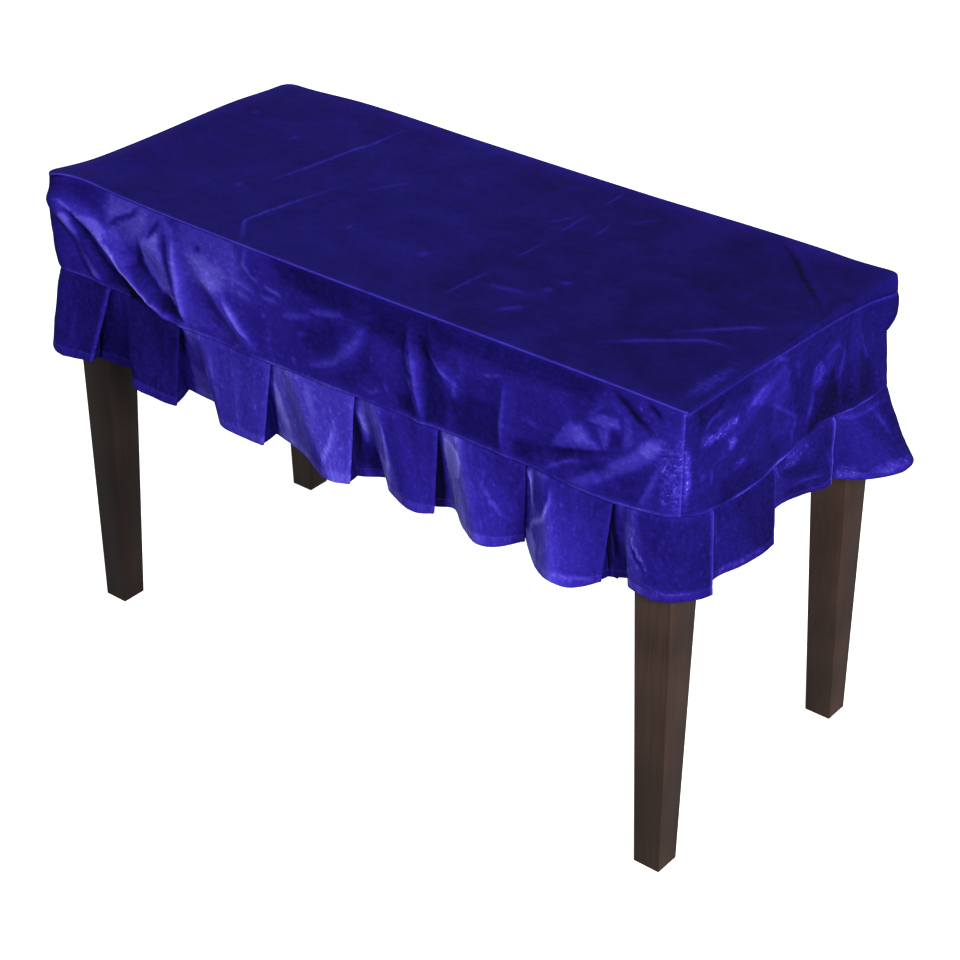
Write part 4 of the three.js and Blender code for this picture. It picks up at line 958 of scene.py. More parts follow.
def side_band(side):
    """One side band, with its seam allowances."""
    length, name = 2 * side["half"], side["name"]
    inner = np.linspace(END_STEPS[-1], length - END_STEPS[-1], round(length / BAND_SPACING[name]))
    ends, firm = END_STEPS[:-1], LEVEL_STEPS[:-1]
    columns = side["start"] + np.concatenate([ends, inner, length - ends[::-1]])
    open_rows = np.linspace(LEVEL_STEPS[-1], 1 - LEVEL_STEPS[-1], BAND_ROWS)
    s, level = np.meshgrid(columns, np.concatenate([firm, open_rows, 1 - firm[::-1]]))
    top_z, low_z = seam_at("top", s) - BAND_GAP, seam_at("low", s)
    depth = level * (top_z - low_z)
    above_ruffle = top_z - low_z - depth
    at = s - side["start"] - side["half"]
    from_corner = side["half"] - np.abs(at)
    marks = folds_at(at, depth, CREASES[name])
    start = clamp01(level / BAND_START)
    crush = BAND_CRUSH + marks["crush"]
    relief = marks["rise"] + lumps(s, depth, BAND_LUMPS) + crush * lumps(s, depth, BAND_TUFTS)
    out = np.maximum(0, panel_out(s, level) + relief * start)
    out = out - rolled(depth, TOP_ROLL[name]) - rolled(above_ruffle, RUFFLE_ROLL)
    out = out - rolled(from_corner, CORNER_ROLL) * start
    points = np.concatenate([plan_point(s, out, level), (top_z - depth)[..., None]], -1)
    # seam allowances: round the corners, in under the top panel, and up behind the ruffle seam
    tucks = []
    for k, tuck in zip((0, 0, -1, -1), CORNER_TUCK + CORNER_TUCK[::-1]):
        plan = plan_point(s[:, k], out[:, k] - tuck, level[:, k])
        tucks.append(np.concatenate([plan, points[:, k, 2:]], -1)[:, None])
    points = np.concatenate(tucks[:2] + [points] + tucks[2:], 1)
    outward = np.array([*side["outward"], 0.0])
    over = [points[:1] - SEAM_TURN * share * outward - (0, 0, TOP_TUCK + share) for share in (1.0, 0.5)]
    lift = [points[-1:] - LOW_TUCK * outward + (0, 0, SEAM_TURN * share) for share in (0.5, 1.0)]
    points = np.concatenate(over + [points] + lift)
    # where the painted highlights beside the three seams fall
    seam_highlight, corner_highlight, top_highlight = (
        bell(distance - HIGHLIGHT_PLACES[highlight_kind][0], HIGHLIGHT_PLACES[highlight_kind][1])
        for highlight_kind, distance in (("seam", above_ruffle), ("corner", from_corner), ("top", depth)))
    # the band's colour value: its pile, the creases with their painted highlights and shade, and painted
    # light and shade on the broad folds
    nap = BAND_PILE_AND_SHADE[name] + CREASE_PILE_AND_SHADE_SHARE * marks["nap"] + PAINTED_LIGHT_PER_MM * fold_relief(s, depth) * start
    # painted highlights along the ruffle's seam, the top seam and the corner seam
    nap = nap + RUFFLE_SEAM_HIGHLIGHT[name] * seam_highlight * (1 + lumps(s, depth, HIGHLIGHT_LUMPS))
    nap = nap + TOP_SEAM_HIGHLIGHT[name] * top_highlight + CORNER_SEAM_HIGHLIGHT[name] * corner_highlight * (at > 0)
    padded = [np.pad(values, 2, mode="edge") for values in (s, depth + BAND_MAP, nap, crush)]
    return cloth_piece(f"band_{name}_velvet", points, *padded)


bands = {side["name"]: side_band(side) for side in SIDES}

# %% [markdown]
# ## The pleated ruffle
# A straight strip folded into knife pleats that all lap the same way, pinned along the seam and left to open
# towards the hem. Each pleat has a hidden start under the pleat before it, a hollow, a roll, a crest and a
# folded edge; then the cloth turns back under itself and round again into the next pleat. Every pleat is
# different, so a row gives how each of those five lines lies at the hem: along the edge, and outwards.

# %% Pleats
PLEAT_COLUMNS = ("at", "start", "hollow", "roll", "crest", "edge")
PLEAT_ROWS = dict(
    front=[
        (-309.5, (-22, 8), (32, 4), (43, 22), (64, 37), (-2, 21)),
        (-208.5, (-9, -9), (35, -7), (47, 3), (63, 20), (-2, 22)),
        (-88.5, (-5, -4), (18, 1), (46, 10), (92, 34), (7, 26)),
        (17.5, (4, 6), (29, -7), (45, 10), (84, 25), (1, 16)),
        (117.5, (-4, 3), (13, -3), (43, 20), (74, 35), (-5, 1)),
        (217.5, (-8, -7), (4, 4), (40, 37), (68, 48), (-10, 9)),
        (313.5, (-7, -4), (10, -10), (17, 1), (46, 7), (1, 12)),
    ],
    right=[
        (-133, (7, 2), (28, -1), (56, 5), (83, 8), (9, 8)),
        (-37, (17, -8), (56, -20), (92, -14), (118, -4), (22, -3)),
        (66, (21, -9), (36, -5), (56, 20), (86, 41), (8, 35)),
    ],
    back=[
        (-373, (6, 4), (26, 2), (48, 12), (70, 22), (2, 16)),
        (-273, (-6, 0), (20, -6), (38, 12), (68, 32), (4, 20)),
        (-171, (-4, 2), (26, -8), (44, 6), (80, 18), (-6, 12)),
        (-72, (-8, -6), (14, -4), (34, 24), (62, 46), (6, 20)),
        (28, (2, 4), (30, -8), (46, 6), (84, 24), (-2, 17)),
        (127, (-6, -2), (22, -6), (40, 16), (64, 36), (4, 14)),
        (226, (-2, 0), (18, -3), (42, 9), (74, 20), (-8, 14)),
        (325, (-8, 0), (14, 2), (32, 12), (58, 26), (2, 18)),
    ],
    left=[
        (-127, (4, 4), (26, 1), (46, 12), (70, 24), (-4, 15)),
        (-32, (-6, -3), (20, -10), (34, 6), (58, 30), (2, 16)),
        (57, (0, 2), (22, 2), (44, 14), (66, 26), (-2, 20)),
        (147, (-4, 4), (10, 18), (28, 28), (48, 35), (-22, 20)),
    ],
)
PLEATS = [dict(zip(PLEAT_COLUMNS, row), side=name) for name, rows in PLEAT_ROWS.items() for row in rows]
RUFFLES = [
    dict(name="ruffle_front", first=0, count=6),
    dict(name="ruffle_right", first=6, count=4),
    dict(name="ruffle_back", first=10, count=7),
    dict(name="ruffle_left", first=17, count=5),
]
LINES_AT_SEAM = (5, 17, 30)      # hollow, roll and crest, from the pleat's place at the seam
BENDS = [ease, lambda t: t * t, lambda t: 1 - (1 - t) ** 2, lambda t: t * t]     # from line to line there


def smooth_run(knots, steps):
    """Smooth curve through knots, with as many steps from each to the next; it stops short of the last."""
    slope = np.gradient(knots, axis=0)
    t = (np.arange(steps) / steps)[:, None]
    return np.concatenate([hermite(a, b, p, q, t) for a, b, p, q in zip(knots, knots[1:], slope, slope[1:])])


def pleat_at(index):
    """The pleat of a row number, which may run past the table's ends, with its place unwrapped."""
    turns, row = divmod(index, len(PLEATS))
    pleat = PLEATS[row]
    return dict(pleat, s=edge_place(pleat["side"], pleat["at"]) + turns * AROUND)


print(len(PLEATS), "pleats")

# %% Marks on the pleats
# Places are (line, down): line 0 is the pleat's hidden start, 1 its hollow, 2 its roll, 3 its crest and 4 its
# folded edge; down is millimetres below the seam.
# How much brighter or darker than the plain ruffle each pleat is.
PLEAT_NAP = {21: -0.18, 0: -0.21, 1: 0.12, 2: 0.25, 3: 0.1, 4: 0.15, 5: 0.08, 6: -0.03, 7: -0.27, 8: -0.17,
             9: -0.18}
# Painted light and shade of a full pleat: bright across its middle and dark where it dips behind its
# neighbours: places and shares.
SWELL_LIGHT_AND_SHADE = ([0, 0.5, 1.1, 2.5, 3.2, 4], [-1, -0.8, 0.8, 0.7, -0.6, -0.9])
PLAIN_SWELL_SHADE = 0.12
PLEAT_SWELL_SHADE = {1: 0.08, 3: 0.25, 4: 0.34, 5: 0.25, 6: 0.28, 7: 0.06, 8: 0.08, 9: 0.1}
# Marks raise or sink the cloth and brighten or darken its pile, with painted highlights on ridges and painted
# shade in troughs.
PLEAT_MARKS = {
    21: [fold([(0.1, 24), (1.3, 2)], 2.2, rise=0.8, nap=0.3),
         face([(0.1, 0), (2.2, 0), (1.8, 12), (0.4, 12)], 4, nap=0.12),
         fold([(3.3, 30), (3.3, 72)], 2.4, rise=0.5, nap=0.14)],
    0: [fold([(0.35, 6), (0.2, 38)], 2, rise=0.5, nap=0.24),
        face([(2.1, 64), (2.6, 58), (3.0, 70), (2.4, 84)], 3, nap=-0.2)],
    1: [fold([(0.7, 8), (0.35, 20), (0.2, 36)], 4, rise=-0.6, nap=-0.3),
        face([(0.1, 40), (0.9, 52), (1.3, 84), (0, 84)], 4, nap=0.2),
        fold([(0.5, 12), (0.4, 40)], 3, nap=0.2),
        fold([(0.6, 4), (2.8, 3)], 3, nap=0.12),
        face([(1.0, 50), (2.9, 30), (2.9, 40), (1.3, 62)], 3, nap=0.16),
        fold([(3.1, 4), (3.1, 78)], 2, rise=0.7, nap=0.22),
        fold([(3.45, 4), (3.5, 78)], 2, rise=0.7, nap=0.18),
        fold([(3.8, 4), (3.8, 78)], 1.8, rise=0.6, nap=0.16)],
    2: [fold([(0.75, 4), (0.6, 60)], 4, nap=0.24),
        face([(0.3, 18), (0.8, 24), (1.2, 60), (1.2, 84), (0.2, 84)], 4, rise=0.6, nap=0.16),
        fold([(0.85, 28), (0.95, 70)], 4, nap=0.12),
        face([(2.4, 70), (3.0, 58), (3.2, 84), (2.2, 84)], 3, nap=-0.14),
        fold([(3.2, 4), (3.2, 40)], 2.2, rise=0.6, nap=0.2),
        fold([(3.7, 26), (3.5, 52), (3.0, 76)], 2, rise=0.9, nap=0.3)],
    3: [fold([(0.35, 4), (0.2, 60)], 2, rise=-0.8, nap=-0.3),
        fold([(0.7, 6), (0.6, 55)], 4.5, rise=0.8, nap=0.5),
        face([(0.6, 36), (0.9, 42), (1.0, 66), (0.6, 84), (0.3, 70)], 3, rise=-0.6, nap=-0.22),
        fold([(3.0, 3), (2.8, 25), (2.5, 50), (2.3, 66), (2.1, 82)], 3, lean=0.4, rise=1.2, nap=0.3),
        face([(1.0, 44), (2.3, 46), (2.1, 84), (1.0, 84)], 4, nap=0.14),
        face([(2.9, 8), (3.3, 5), (3.1, 60), (2.7, 84)], 3, nap=-0.12)],
    4: [fold([(0.45, 6), (0.35, 82)], 4.5, rise=-0.8, nap=-0.26),
        face([(1.0, 8), (1.8, 8), (2.4, 13), (2.6, 19), (2.3, 34), (1.6, 42), (1.1, 50), (0.9, 30)], 1.8,
             rise=0.8, nap=0.26),
        fold([(1.6, 42), (1.35, 56), (1.3, 82)], 2.6, lean=0.4, rise=1.0, nap=0.3),
        face([(1.5, 48), (2.2, 42), (2.3, 84), (1.4, 84)], 4, nap=0.1),
        fold([(2.2, 64), (2.1, 82)], 3.4, nap=0.16),
        fold([(3.2, 26), (3.4, 44), (3.7, 60)], 1.8, rise=0.5, nap=0.24)],
    5: [face([(0.3, 8), (0.8, 10), (1.1, 30), (1.2, 60), (0.7, 64), (0.3, 56)], 3, nap=-0.12),
        face([(1.2, 2), (3.0, 2), (2.8, 20), (2.2, 35), (1.5, 30)], 5, nap=-0.2),
        fold([(0.4, 4), (0.35, 30)], 3, rise=-0.6, nap=-0.2),
        fold([(0.7, 3), (1.1, 14), (1.3, 30), (1.5, 40)], 2.2, rise=0.9, nap=0.34),
        fold([(3.0, 4), (2.9, 20), (2.3, 38), (1.6, 46), (1.3, 56), (1.05, 66)], 2.2, rise=1.0, nap=0.36),
        face([(0.2, 64), (1.0, 68), (1.4, 60), (1.8, 66), (1.8, 84), (0.1, 84)], 3, nap=0.4),
        fold([(2.2, 54), (2.2, 80)], 4, nap=0.14),
        fold([(2.9, 78), (3.4, 75), (3.8, 79)], 1.8, rise=0.5, nap=0.24)],
    6: [fold([(0.45, 26), (0.4, 66)], 3.4, rise=-0.8, nap=-0.2),
        face([(0.6, 4), (2.2, 2), (1.6, 14), (1.2, 30), (0.9, 30)], 4, nap=-0.1),
        face([(1.5, 18), (2.0, 16), (2.1, 84), (1.1, 84), (1.2, 44)], 4, rise=0.6, nap=0.12, crush=0.2),
        fold([(2.15, 20), (2.3, 36), (2.9, 52), (3.0, 62)], 2, rise=0.6, nap=0.16, crush=0.6),
        fold([(2.1, 38), (2.5, 50), (2.8, 58)], 1.6, rise=-1.2, nap=-0.4),
        fold([(2.6, 70), (3.2, 76), (3.8, 75)], 1.8, rise=0.4, nap=0.2)],
    7: [fold([(1.2, 5), (1.1, 50)], 2.4, nap=0.14),
        face([(1.0, 74), (3.1, 72), (3.4, 80), (1.0, 82)], 3, nap=0.12, crush=0.4)],
    8: [fold([(1.1, 4), (1.2, 20), (1.3, 36)], 2.4, rise=0.6, nap=0.28),
        face([(1.5, 20), (1.8, 14), (2.3, 2), (3.2, 2), (3.3, 12), (2.4, 18)], 3, nap=0.16, crush=0.6),
        face([(1.6, 24), (3.0, 20), (3.2, 46), (1.7, 46)], 6, nap=-0.1),
        fold([(2.0, 56), (2.4, 53), (3.0, 55), (3.3, 64)], 2, rise=0.8, nap=0.26),
        face([(1.5, 62), (2.2, 62), (2.4, 84), (1.4, 84)], 4, nap=-0.14),
        fold([(3.8, 36), (3.9, 80)], 3, nap=0.2)],
    9: [fold([(1.0, 3), (2.9, 6), (3.7, 7)], 1.8, rise=0.5, nap=0.24),
        face([(1.0, 68), (1.7, 66), (1.8, 78), (1.0, 84)], 3, nap=0.16, crush=0.5),
        face([(2.1, 74), (2.6, 66), (3.3, 70), (3.2, 76), (2.4, 80)], 2.4, nap=0.18, crush=0.5),
        fold([(3.35, 8), (3.35, 46)], 1.8, rise=0.6, nap=0.28)],
}
# The pleats out of sight from the front take their marks in turn from these three.
SPARE_MARKS = [
    [fold([(2.8, 6), (2.9, 76)], 2.6, rise=1.0, nap=0.32),
     fold([(1.0, 14), (1.2, 70)], 9, nap=0.2)],
    [fold([(3.4, 20), (2.9, 48), (2.3, 78)], 2.6, rise=1.0, nap=0.34),
     fold([(0.7, 30), (0.8, 66)], 8, nap=-0.2),
     fold([(1.5, 66), (2.3, 70)], 9, nap=0.2)],
    [fold([(1.0, 8), (2.2, 16), (2.0, 44), (1.5, 80)], 2.6, rise=1.0, nap=0.32),
     fold([(2.2, 60), (3.3, 74)], 8, nap=0.16, crush=0.5)],
]
RUFFLE_PILE_AND_SHADE = 0.42           # level of the plain cloth of the ruffle: its pile together with painted light and shade
RUFFLE_CRUSH = 0.35         # and how matted its pile is
EDGE_HIGHLIGHT = 0.05             # painted highlight along a folded edge, where the cloth turns and catches the light
EDGE_WIDTH = 1.7            # of that bright line
LIT_EDGES = {21: 0.3, 6: 0.46, 7: 0.34, 8: 0.56}             # edges with a stronger painted highlight
SLOT_SHADE = 0.3              # painted shade where a pleat passes behind the folded edge of the one before
SLOT_SHADES = {0: 0.1, 3: 0.2, 6: 0.35, 7: 0.0, 8: 0.1, 9: 0.1}    # that painted shade in the slots of single pleats
SLOT_REACH = 2.2            # and how far past the edge that goes
HIDDEN_SHADE = 0.12           # painted shade on the layers hidden inside a fold
print(sum(len(rows) for rows in PLEAT_MARKS.values()), "marks on the pleats")

# %% Ruffle geometry
FACE_STEPS = 12             # columns between two lines of a pleat
TURN_STEPS = 5              # columns round a folded edge
LAP_STEPS = 3               # columns along the hidden return
DOWN_STEPS = 34             # grid steps from the seam to the hem
EDGE_BACK = 1.2             # how far the layer behind a folded edge is set back from it at the hem
START_BACK = 1.6            # and how far its other end is set back from the next pleat's start
LAST_LAP = [(1.5, -1.3), (4.0, -1.5), (8.0, -1.6)]       # a length ends behind the next: along, outwards
MARKS_LEVEL = 0.6           # share of the drop at which a pleat's breadth is measured for its marks
MARKS_START = 8.0           # distance below the seam over which creases and lumps come in
RUFFLE_LUMPS = [(0.5, 19, 31), (0.2, 7, 32)]
RUFFLE_TUFTS = [(0.25, 4.2, 33)]                         # where the cloth is crushed
RUFFLE_MAP = 600            # where the ruffle lies on the cloth's pattern
RUFFLE_GAP = 0.9            # below the band's lower edge
HEADING_BACK = 1.0          # how far the seam allowance stands behind the ruffle's face
HEM_RADIUS = 0.5            # of the turned hem, at the middle of the cloth
HEM_LINE = 1.3              # width of the dent that the hem's stitching pulls in
HEM_DENT = 0.35             # and its depth
HEM_NAP = 0.1               # the hem's two layers are stiffer and lie a little brighter
HEM_LINE_HIGHLIGHT = 0.05         # and a painted highlight along the stitching
STITCH_LIFT = 0.05          # from the face of the cloth to the middle of the thread


def turned(first, last, radius):
    """Half circle from one (place, out) point to another, bulging along the edge by radius."""
    first, last = np.array(first, float), np.array(last, float)
    angle = np.linspace(0, math.pi, TURN_STEPS + 1)[1:-1, None]
    centre, arm = (first + last) / 2, (first - last) / 2
    return centre + arm * np.cos(angle) + np.array([radius, 0.0]) * np.sin(angle)


def pleat_columns(index):
    """One pleat's columns: (place, out) at the seam and at the hem, and its line, -1 on the hidden layers."""
    pleat, following = pleat_at(index), pleat_at(index + 1)
    s, n, step = pleat["s"], following["s"], LAYER_STEP
    hollow, roll, crest = (s + line for line in LINES_AT_SEAM)
    seam = np.array([(s - UNDERLAP, -2 * step), (hollow, -2 * step), (roll, -step), (crest, 0), (n, 0)])
    hem = np.array([(s + pleat[key][0], pleat[key][1]) for key in ("start", "hollow", "roll", "crest")]
                   + [(n + pleat["edge"][0], pleat["edge"][1])], float)
    t = np.arange(FACE_STEPS) / FACE_STEPS
    seams = [np.stack([mix(a[0], b[0], t), mix(a[1], b[1], bend(t))], -1)
             for a, b, bend in zip(seam, seam[1:], BENDS)]
    hems = [smooth_run(hem, FACE_STEPS)]
    lines = [k + t for k in range(len(BENDS))]
    under_seam, inner_seam = (n, -step), (n - UNDERLAP, -step)
    under_hem = (n + pleat["edge"][0] - EDGE_BACK, pleat["edge"][1] - HEM_LAYER_STEP)
    inner_hem = (n + following["start"][0] - START_BACK, following["start"][1] + step)
    next_seam, next_hem = (n - UNDERLAP, -2 * step), (n + following["start"][0], following["start"][1])
    share = (np.arange(LAP_STEPS + 1) / LAP_STEPS)[:, None]
    for made, edge, under, inner, onward, radius in (
            (seams, seam[4], under_seam, inner_seam, next_seam, step / 2),
            (hems, hem[4], under_hem, inner_hem, next_hem, HEM_LAYER_STEP / 2)):
        made.append(edge[None])
        made.append(turned(edge, under, radius))
        made.append(mix(np.array(under, float), np.array(inner, float), share))
        made.append(turned(inner, onward, -step / 2))
    hidden = (TURN_STEPS - 1) + LAP_STEPS + 1
    lines.append(np.concatenate([np.full(TURN_STEPS, 4.0), np.full(hidden, -1.0)]))
    return np.concatenate(seams), np.concatenate(hems), np.concatenate(lines)


def length_columns(row):
    """All columns of one length: their places at the seam and at the hem, their line, and their pleat."""
    parts = []
    for index in range(row["first"], row["first"] + row["count"]):
        seam, hem, line = pleat_columns(index)
        parts.append((seam, hem, line, np.full(len(line), index % len(PLEATS))))
    lap = np.array(LAST_LAP)
    parts.append((seam[-1] + lap, hem[-1] + lap, np.full(len(lap), -1.0), np.full(len(lap), -1)))
    return [np.concatenate(column) for column in zip(*parts)]


def run_length(points):
    """Distance of each point along a run of points."""
    return np.concatenate([[0], np.cumsum(np.linalg.norm(np.diff(points, axis=0), axis=-1))])


def pleat_looks(index, line, across, beyond, depth):
    """Rise, brightness and crush of the shown face of one pleat: its pile with its painted light and shade.

    `line` is 0 to 4 from the pleat's hidden start to its folded edge, `across` the distance along it in
    millimetres, and `beyond` how far it is past the folded edge of the pleat before.
    """
    rows = PLEAT_MARKS.get(index, SPARE_MARKS[index % len(SPARE_MARKS)])
    rows = [dict(r, **{kind: [(np.interp(a, line, across), b) for a, b in r[kind]]})
            for r in rows for kind in ("path", "face") if kind in r]
    marks = folds_at(across + 0 * depth, depth, rows)
    edge = across[np.argmax(line >= 4)]
    # painted highlight along the folded edge
    edge_highlight = LIT_EDGES.get(index, EDGE_HIGHLIGHT) * bell(across - edge, EDGE_WIDTH)
    # painted shade in the slot behind the folded edge of the pleat before
    slot_shade = SLOT_SHADES.get(index, SLOT_SHADE) * bell(np.maximum(beyond, 0), SLOT_REACH)
    swell_shade = PLEAT_SWELL_SHADE.get(index, PLAIN_SWELL_SHADE) * np.interp(line, *SWELL_LIGHT_AND_SHADE)
    # the pleat's colour value: pile and marks with their painted light and shade, a painted highlight on the
    # folded edge, painted light and shade across the swell, and painted shade in the slot
    nap = RUFFLE_PILE_AND_SHADE + PLEAT_NAP.get(index, 0) + marks["nap"] + edge_highlight + swell_shade - slot_shade
    return marks["rise"], nap, RUFFLE_CRUSH + marks["crush"]


def turned_hem(points):
    """Rows that turn the hem round and up inside, on from the last row of points."""
    normal = grid_normals(points[-3:])[-1]
    fall = points[-1] - points[-2]
    fall /= np.linalg.norm(fall, axis=-1, keepdims=True)
    turn = [points[-1] + HEM_RADIUS * (fall * math.sin(angle) - normal * (1 - math.cos(angle)))
            for angle in np.radians([45, 90, 135, 180])]
    turn += [points[-1] - 2 * HEM_RADIUS * normal - fall * HEM_TURN * up for up in (0.4, 1.0)]
    return np.stack(turn)


def ruffle_length(row):
    """One length of the ruffle, the path of its hem's stitches, and the size it was cut to."""
    seam, hem, line, owner = length_columns(row)
    down = np.linspace(0, 1, DOWN_STEPS + 1)[:, None]
    seam_out = seam[:, 1] + panel_out(seam[:, 0], 1.0)
    drop = np.sqrt(RUFFLE_DROP**2 - (hem[:, 1] - seam_out) ** 2)
    place, out = mix(seam[:, 0], hem[:, 0], down), mix(seam_out, hem[:, 1], down)
    depth = down * RUFFLE_DROP + 0 * place
    shown = line >= 0
    rise, nap, crush = np.zeros(place.shape), np.full(place.shape, HIDDEN_SHADE), np.zeros(place.shape)
    for index in np.unique(owner[owner >= 0]):
        mine = np.flatnonzero((owner == index) & shown)
        across = run_length(mix(seam[mine], hem[mine], MARKS_LEVEL))
        here, before = pleat_at(index), pleat_at(index - 1)
        beyond = place[:, mine] - mix(here["s"], here["s"] + before["edge"][0], down)
        looks = pleat_looks(index, line[mine], across, beyond, depth[:, mine])
        rise[:, mine], nap[:, mine], crush[:, mine] = looks
    rise = rise + lumps(place, depth, RUFFLE_LUMPS) + crush * lumps(place, depth, RUFFLE_TUFTS)
    from_hem = RUFFLE_DROP - depth
    hem_line = bell(from_hem - HEM_TURN, HEM_LINE)
    rise = rise * shown * clamp01(depth / MARKS_START) - HEM_DENT * hem_line
    # the stiffer hem lies brighter, with a painted highlight along its stitching
    nap = nap + (HEM_NAP * clamp01((HEM_TURN + 1 - from_hem) / 2) + HEM_LINE_HIGHLIGHT * hem_line) * shown
    out = out + rise - rolled(depth, RUFFLE_ROLL)
    height = seam_at("low", seam[:, 0]) - RUFFLE_GAP - drop * down
    points = np.concatenate([plan_point(place, out, 1 + down), height[..., None]], -1)
    # the seam allowance stands up behind the band, and the hem turns up inside
    plan = plan_point(place[0], out[0] - HEADING_BACK, 1.0)
    heading = np.stack([np.concatenate([plan, points[0, :, 2:] + SEAM_TURN * up], -1) for up in (1.0, 0.4)])
    turn = turned_hem(points)
    points = np.concatenate([heading, points, turn])
    pad = [(len(heading), len(turn)), (0, 0)]
    depth, nap, crush = (np.pad(values, pad, mode="edge") for values in (depth, nap, crush))
    # the strip is cut across the cloth, so its map is turned and its streaks run downwards
    run = seam[0, 0] + run_length(mix(seam, hem, 0.5))
    piece = cloth_piece(row["name"] + "_velvet", points, depth + RUFFLE_MAP, run[None], nap, crush)
    stitch_row = len(heading) + round(DOWN_STEPS * (1 - HEM_TURN / RUFFLE_DROP))
    stitches = points[stitch_row] + grid_normals(points)[stitch_row] * (CLOTH / 2 + STITCH_LIFT)
    return piece, stitches, (float(run[-1] - run[0]), RUFFLE_DROP + HEM_TURN + SEAM_TURN)


ruffles = {row["name"]: ruffle_length(row) for row in RUFFLES}
for name, (_, _, cut) in ruffles.items():
    print(f"{name}: cut {cut[0]:.0f} x {cut[1]:.0f} mm before pleating")

# %% [markdown]
# ## Hem stitches
# A row of lockstitch holds the turned-up hem. A stitch is one tiny shape repeated along a path, which is what
# Geometry Nodes do best: resample the path at the stitch length, put a thread on each point, turn it along
# the path, and realise the copies so that they are real mesh.

# %% Stitch tree
STITCH = 3.6                # from one stitch to the next
STITCH_LENGTH = 2.6         # of the thread that shows
STITCH_WIDTH = 0.42

stitcher = bpy.data.node_groups.new("hem_stitcher", "GeometryNodeTree")
SOCKETS = {}
for label, kind in dict(Path="Geometry", Spacing="Float", Length="Float", Width="Float", Thread="Material",
                        Stitches="Geometry").items():
    way = "OUTPUT" if label == "Stitches" else "INPUT"
    made = stitcher.interface.new_socket(label, in_out=way, socket_type="NodeSocket" + kind)
    SOCKETS[label] = made.identifier
given = stitcher.nodes.new("NodeGroupInput").outputs
spaced = add_node(stitcher, "GeometryNodeResampleCurve", dict(mode="LENGTH"), Curve=given["Path"],
                  Length=given["Spacing"])
capsule = add_node(stitcher, "GeometryNodeMeshUVSphere", None, Segments=6, Rings=4, Radius=0.5)
size = add_node(stitcher, "ShaderNodeCombineXYZ", None, X=given["Width"], Y=given["Width"], Z=given["Length"])
shaped = add_node(stitcher, "GeometryNodeTransform", None, Geometry=capsule.outputs["Mesh"],
                  Scale=size.outputs["Vector"])
heading_along = add_node(stitcher, "GeometryNodeInputTangent")
turn_along = add_node(stitcher, "FunctionNodeAlignRotationToVector", dict(axis="Z"),
                      Vector=heading_along.outputs["Tangent"])
placed = add_node(stitcher, "GeometryNodeInstanceOnPoints", None, Points=spaced.outputs["Curve"],
                  Instance=shaped.outputs["Geometry"], Rotation=turn_along.outputs["Rotation"])
real = add_node(stitcher, "GeometryNodeRealizeInstances", None, Geometry=placed.outputs["Instances"])
dyed = add_node(stitcher, "GeometryNodeSetMaterial", None, Geometry=real.outputs["Geometry"],
                Material=given["Thread"])
done = stitcher.nodes.new("NodeGroupOutput")
stitcher.links.new(dyed.outputs["Geometry"], done.inputs["Stitches"])


def stitched(name, path):
    """A row of stitches along a path of points in millimetres."""
    curve = bpy.data.curves.new(name + "_path", "CURVE")
    curve.dimensions = "3D"
    spline = curve.splines.new("POLY")
    spline.points.add(len(path) - 1)
    spline.points.foreach_set("co", np.pad(path * MM, [(0, 0), (0, 1)], constant_values=1).ravel())
    obj = new_object(name + "_path", curve)
    modifier = obj.modifiers.new("stitches", "NODES")
    modifier.node_group = stitcher
    for label, value in (("Spacing", STITCH * MM), ("Length", STITCH_LENGTH * MM),
                         ("Width", STITCH_WIDTH * MM), ("Thread", MATERIALS["thread"])):
        modifier[SOCKETS[label]] = value
    made = plain_mesh(obj, name)
    print(f"{name}: {len(made.data.polygons)} faces")
    return made


hems = {name: stitched(name.replace("ruffle", "hem_stitches"), path)
        for name, (_, path, _) in ruffles.items()}

# %% [markdown]
# ## The bench
# Square legs with two plumb outer faces and two inner faces that slope in to the foot. Real legs have their
# arrises just taken off, so each is built as a tapered block with a fine bevel. The seat and aprons keep the
# frame's own boards, which only need their wood.

# %% Legs
ARRIS = 1.1                 # width of the eased edges


def leg(node):
    """One leg: the frame's own place, head and foot, with its edges eased."""
    low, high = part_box(node)
    side_x, side_y = math.copysign(1, low.x + high.x), math.copysign(1, low.y + high.y)
    outer_x = high.x if side_x > 0 else -low.x
    outer_y = high.y if side_y > 0 else -low.y
    head = high.x - low.x
    mount_x, _, _ = next(mount["pos_m"] for mount in frame["record"]["mounts"]
                         if mount["pos_m"][0] * side_x > 0 and mount["pos_m"][1] * side_y > 0)
    foot = 2 * (outer_x - abs(mount_x))
    work = bmesh.new()
    rings = []
    for z, width in ((low.z, foot), (high.z, head)):
        ring = [(0, 0), (1, 0), (1, 1), (0, 1)]
        rings.append([work.verts.new((side_x * (outer_x - width * a), side_y * (outer_y - width * b), z))
                      for a, b in ring])
    work.faces.new(rings[0])
    work.faces.new(rings[1][::-1])
    for k in range(4):
        work.faces.new([rings[0][k], rings[1][k], rings[1][(k + 1) % 4], rings[0][(k + 1) % 4]])
    bmesh.ops.recalc_face_normals(work, faces=work.faces)
    mesh = bpy.data.meshes.new(node + "_block")
    work.to_mesh(mesh)
    work.free()
    obj = new_object(node + "_block", mesh)
    bevel = obj.modifiers.new("arris", "BEVEL")
    bevel.width = ARRIS * MM
    bevel.segments = 3
    bevel.limit_method = "ANGLE"
    bevel.harden_normals = True
    mesh.materials.append(LEG_WOOD[node])
    made = plain_mesh(obj, node + "_eased")
    print(f"{node}: head {head / MM:.1f} mm, foot {foot / MM:.1f} mm")
    return made


legs = {node: leg(node) for node in LEG_PAINTED_LIGHT}

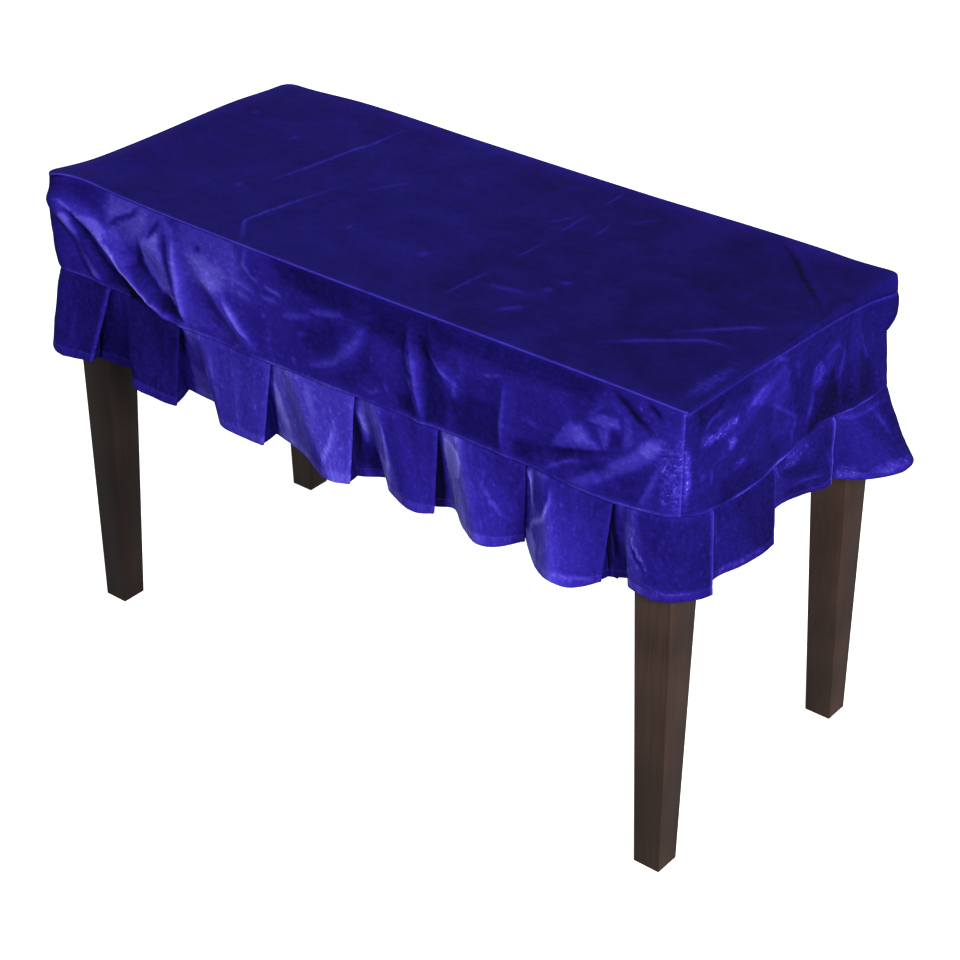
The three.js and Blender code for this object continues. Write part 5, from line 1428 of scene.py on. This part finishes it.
# %% Boards that stay as the frame has them
for node, axis in dict(seat_board=0, apron_front=0, apron_back=0, apron_left=1, apron_right=1).items():
    board = frame["nodes"][node]
    board.data.materials.clear()
    board.data.materials.append(WOOD[axis])
print("seat and aprons finished")

# %% [markdown]
# ## Fitting to the frame
# Each visible piece rides on the one body of the frame and stands for the plain solid it was made from,
# which is hidden.

# %% Ride and replace
def dress(piece, node):
    """The piece takes the place of a CAD solid."""
    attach(piece, "root")
    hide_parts(node)


dress(top, "cover_top")
for side in SIDES:
    band = bands[side["name"]]
    dress(band, "band_" + side["name"])
    along_side = side["start"] + np.linspace(0, 2 * side["half"], 101)
    depth = float(np.mean(seam_at("top", along_side) - seam_at("low", along_side))) + 2 * SEAM_TURN
for name, (piece, _, cut) in ruffles.items():
    dress(piece, name)
    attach(hems[name], "root")
for node, piece in legs.items():
    dress(piece, node)

# %% [markdown]
# ## Stage, light and camera
# A plain white floor that runs out of the picture, lit from all round like a white cove, with one large soft
# light beyond the right end of the bench, so that its end faces are brighter than its front.

# %% Stage
FLOOR_REACH = 30.0          # metres

floor_mesh = bpy.data.meshes.new("floor")
corners = [(FLOOR_REACH * a, FLOOR_REACH * b, 0) for a, b in ((-1, -1), (1, -1), (1, 1), (-1, 1))]
floor_mesh.from_pydata(corners, [], [(0, 1, 2, 3)])
floor = new_object("floor", floor_mesh)
paper, tree = new_material("paper_white_matt")
principled(tree, Base_Color=linear("#f4f4f4"), Roughness=0.9, Emission_Color=linear("#ffffff"),
           Emission_Strength=0.9)
floor_mesh.materials.append(paper)
# the floor is seen, but throws no light back up into the folds
floor.visible_diffuse = False
floor.visible_glossy = False

scene = bpy.context.scene
scene.view_settings.view_transform = "Standard"
world = bpy.data.worlds.new("studio")
scene.world = world
world.use_nodes = True
sky = world.node_tree.nodes["Background"]
sky.inputs["Color"].default_value = linear("#ffffff")
aim = add_node(world.node_tree, "ShaderNodeTexCoord").outputs["Generated"]
up = add_node(world.node_tree, "ShaderNodeSeparateXYZ", None, Vector=aim).outputs["Z"]
# the light is weakest from below and strongest from above
share = add_node(world.node_tree, "ShaderNodeMapRange", None, Value=up, From_Min=-0.5, From_Max=0.5,
                 To_Min=0.22, To_Max=0.62).outputs["Result"]
world.node_tree.links.new(share, sky.inputs["Strength"])


# A square soft box that looks at the middle of the cover.
KEY_PLACE = Vector((2.0, -1.1, 1.45))
KEY_LOOKS_AT = Vector((0, 0, 0.4))
box = bpy.data.lights.new("key", "AREA")
box.shape = "SQUARE"
box.size = 1.1              # metres
box.energy = 80.0           # watts
key = new_object("key", box)
key.location = KEY_PLACE
key.rotation_euler = (KEY_LOOKS_AT - KEY_PLACE).to_track_quat("-Z", "Y").to_euler()

# %% Camera
LENS = 84.85                # focal length in millimetres, on a 36 mm sensor
CAMERA_PLACE = Vector((1.26203, -1.52404, 1.40347))
CAMERA_LOOK = Vector((-0.53927, 0.66496, -0.51674)).normalized()
CAMERA_ROLL = math.radians(-0.1727)

camera_data = bpy.data.cameras.new("camera")
camera_data.lens = LENS
camera_data.sensor_width = 36.0
camera = new_object("camera", camera_data)
right = CAMERA_LOOK.cross(Vector((0, 0, 1))).normalized()
upward = right.cross(CAMERA_LOOK)
rolled_right = math.cos(CAMERA_ROLL) * right + math.sin(CAMERA_ROLL) * upward
rolled_up = -math.sin(CAMERA_ROLL) * right + math.cos(CAMERA_ROLL) * upward
turn = Matrix((rolled_right, rolled_up, -CAMERA_LOOK)).transposed().to_4x4()
camera.matrix_world = Matrix.Translation(CAMERA_PLACE) @ turn
scene.camera = camera
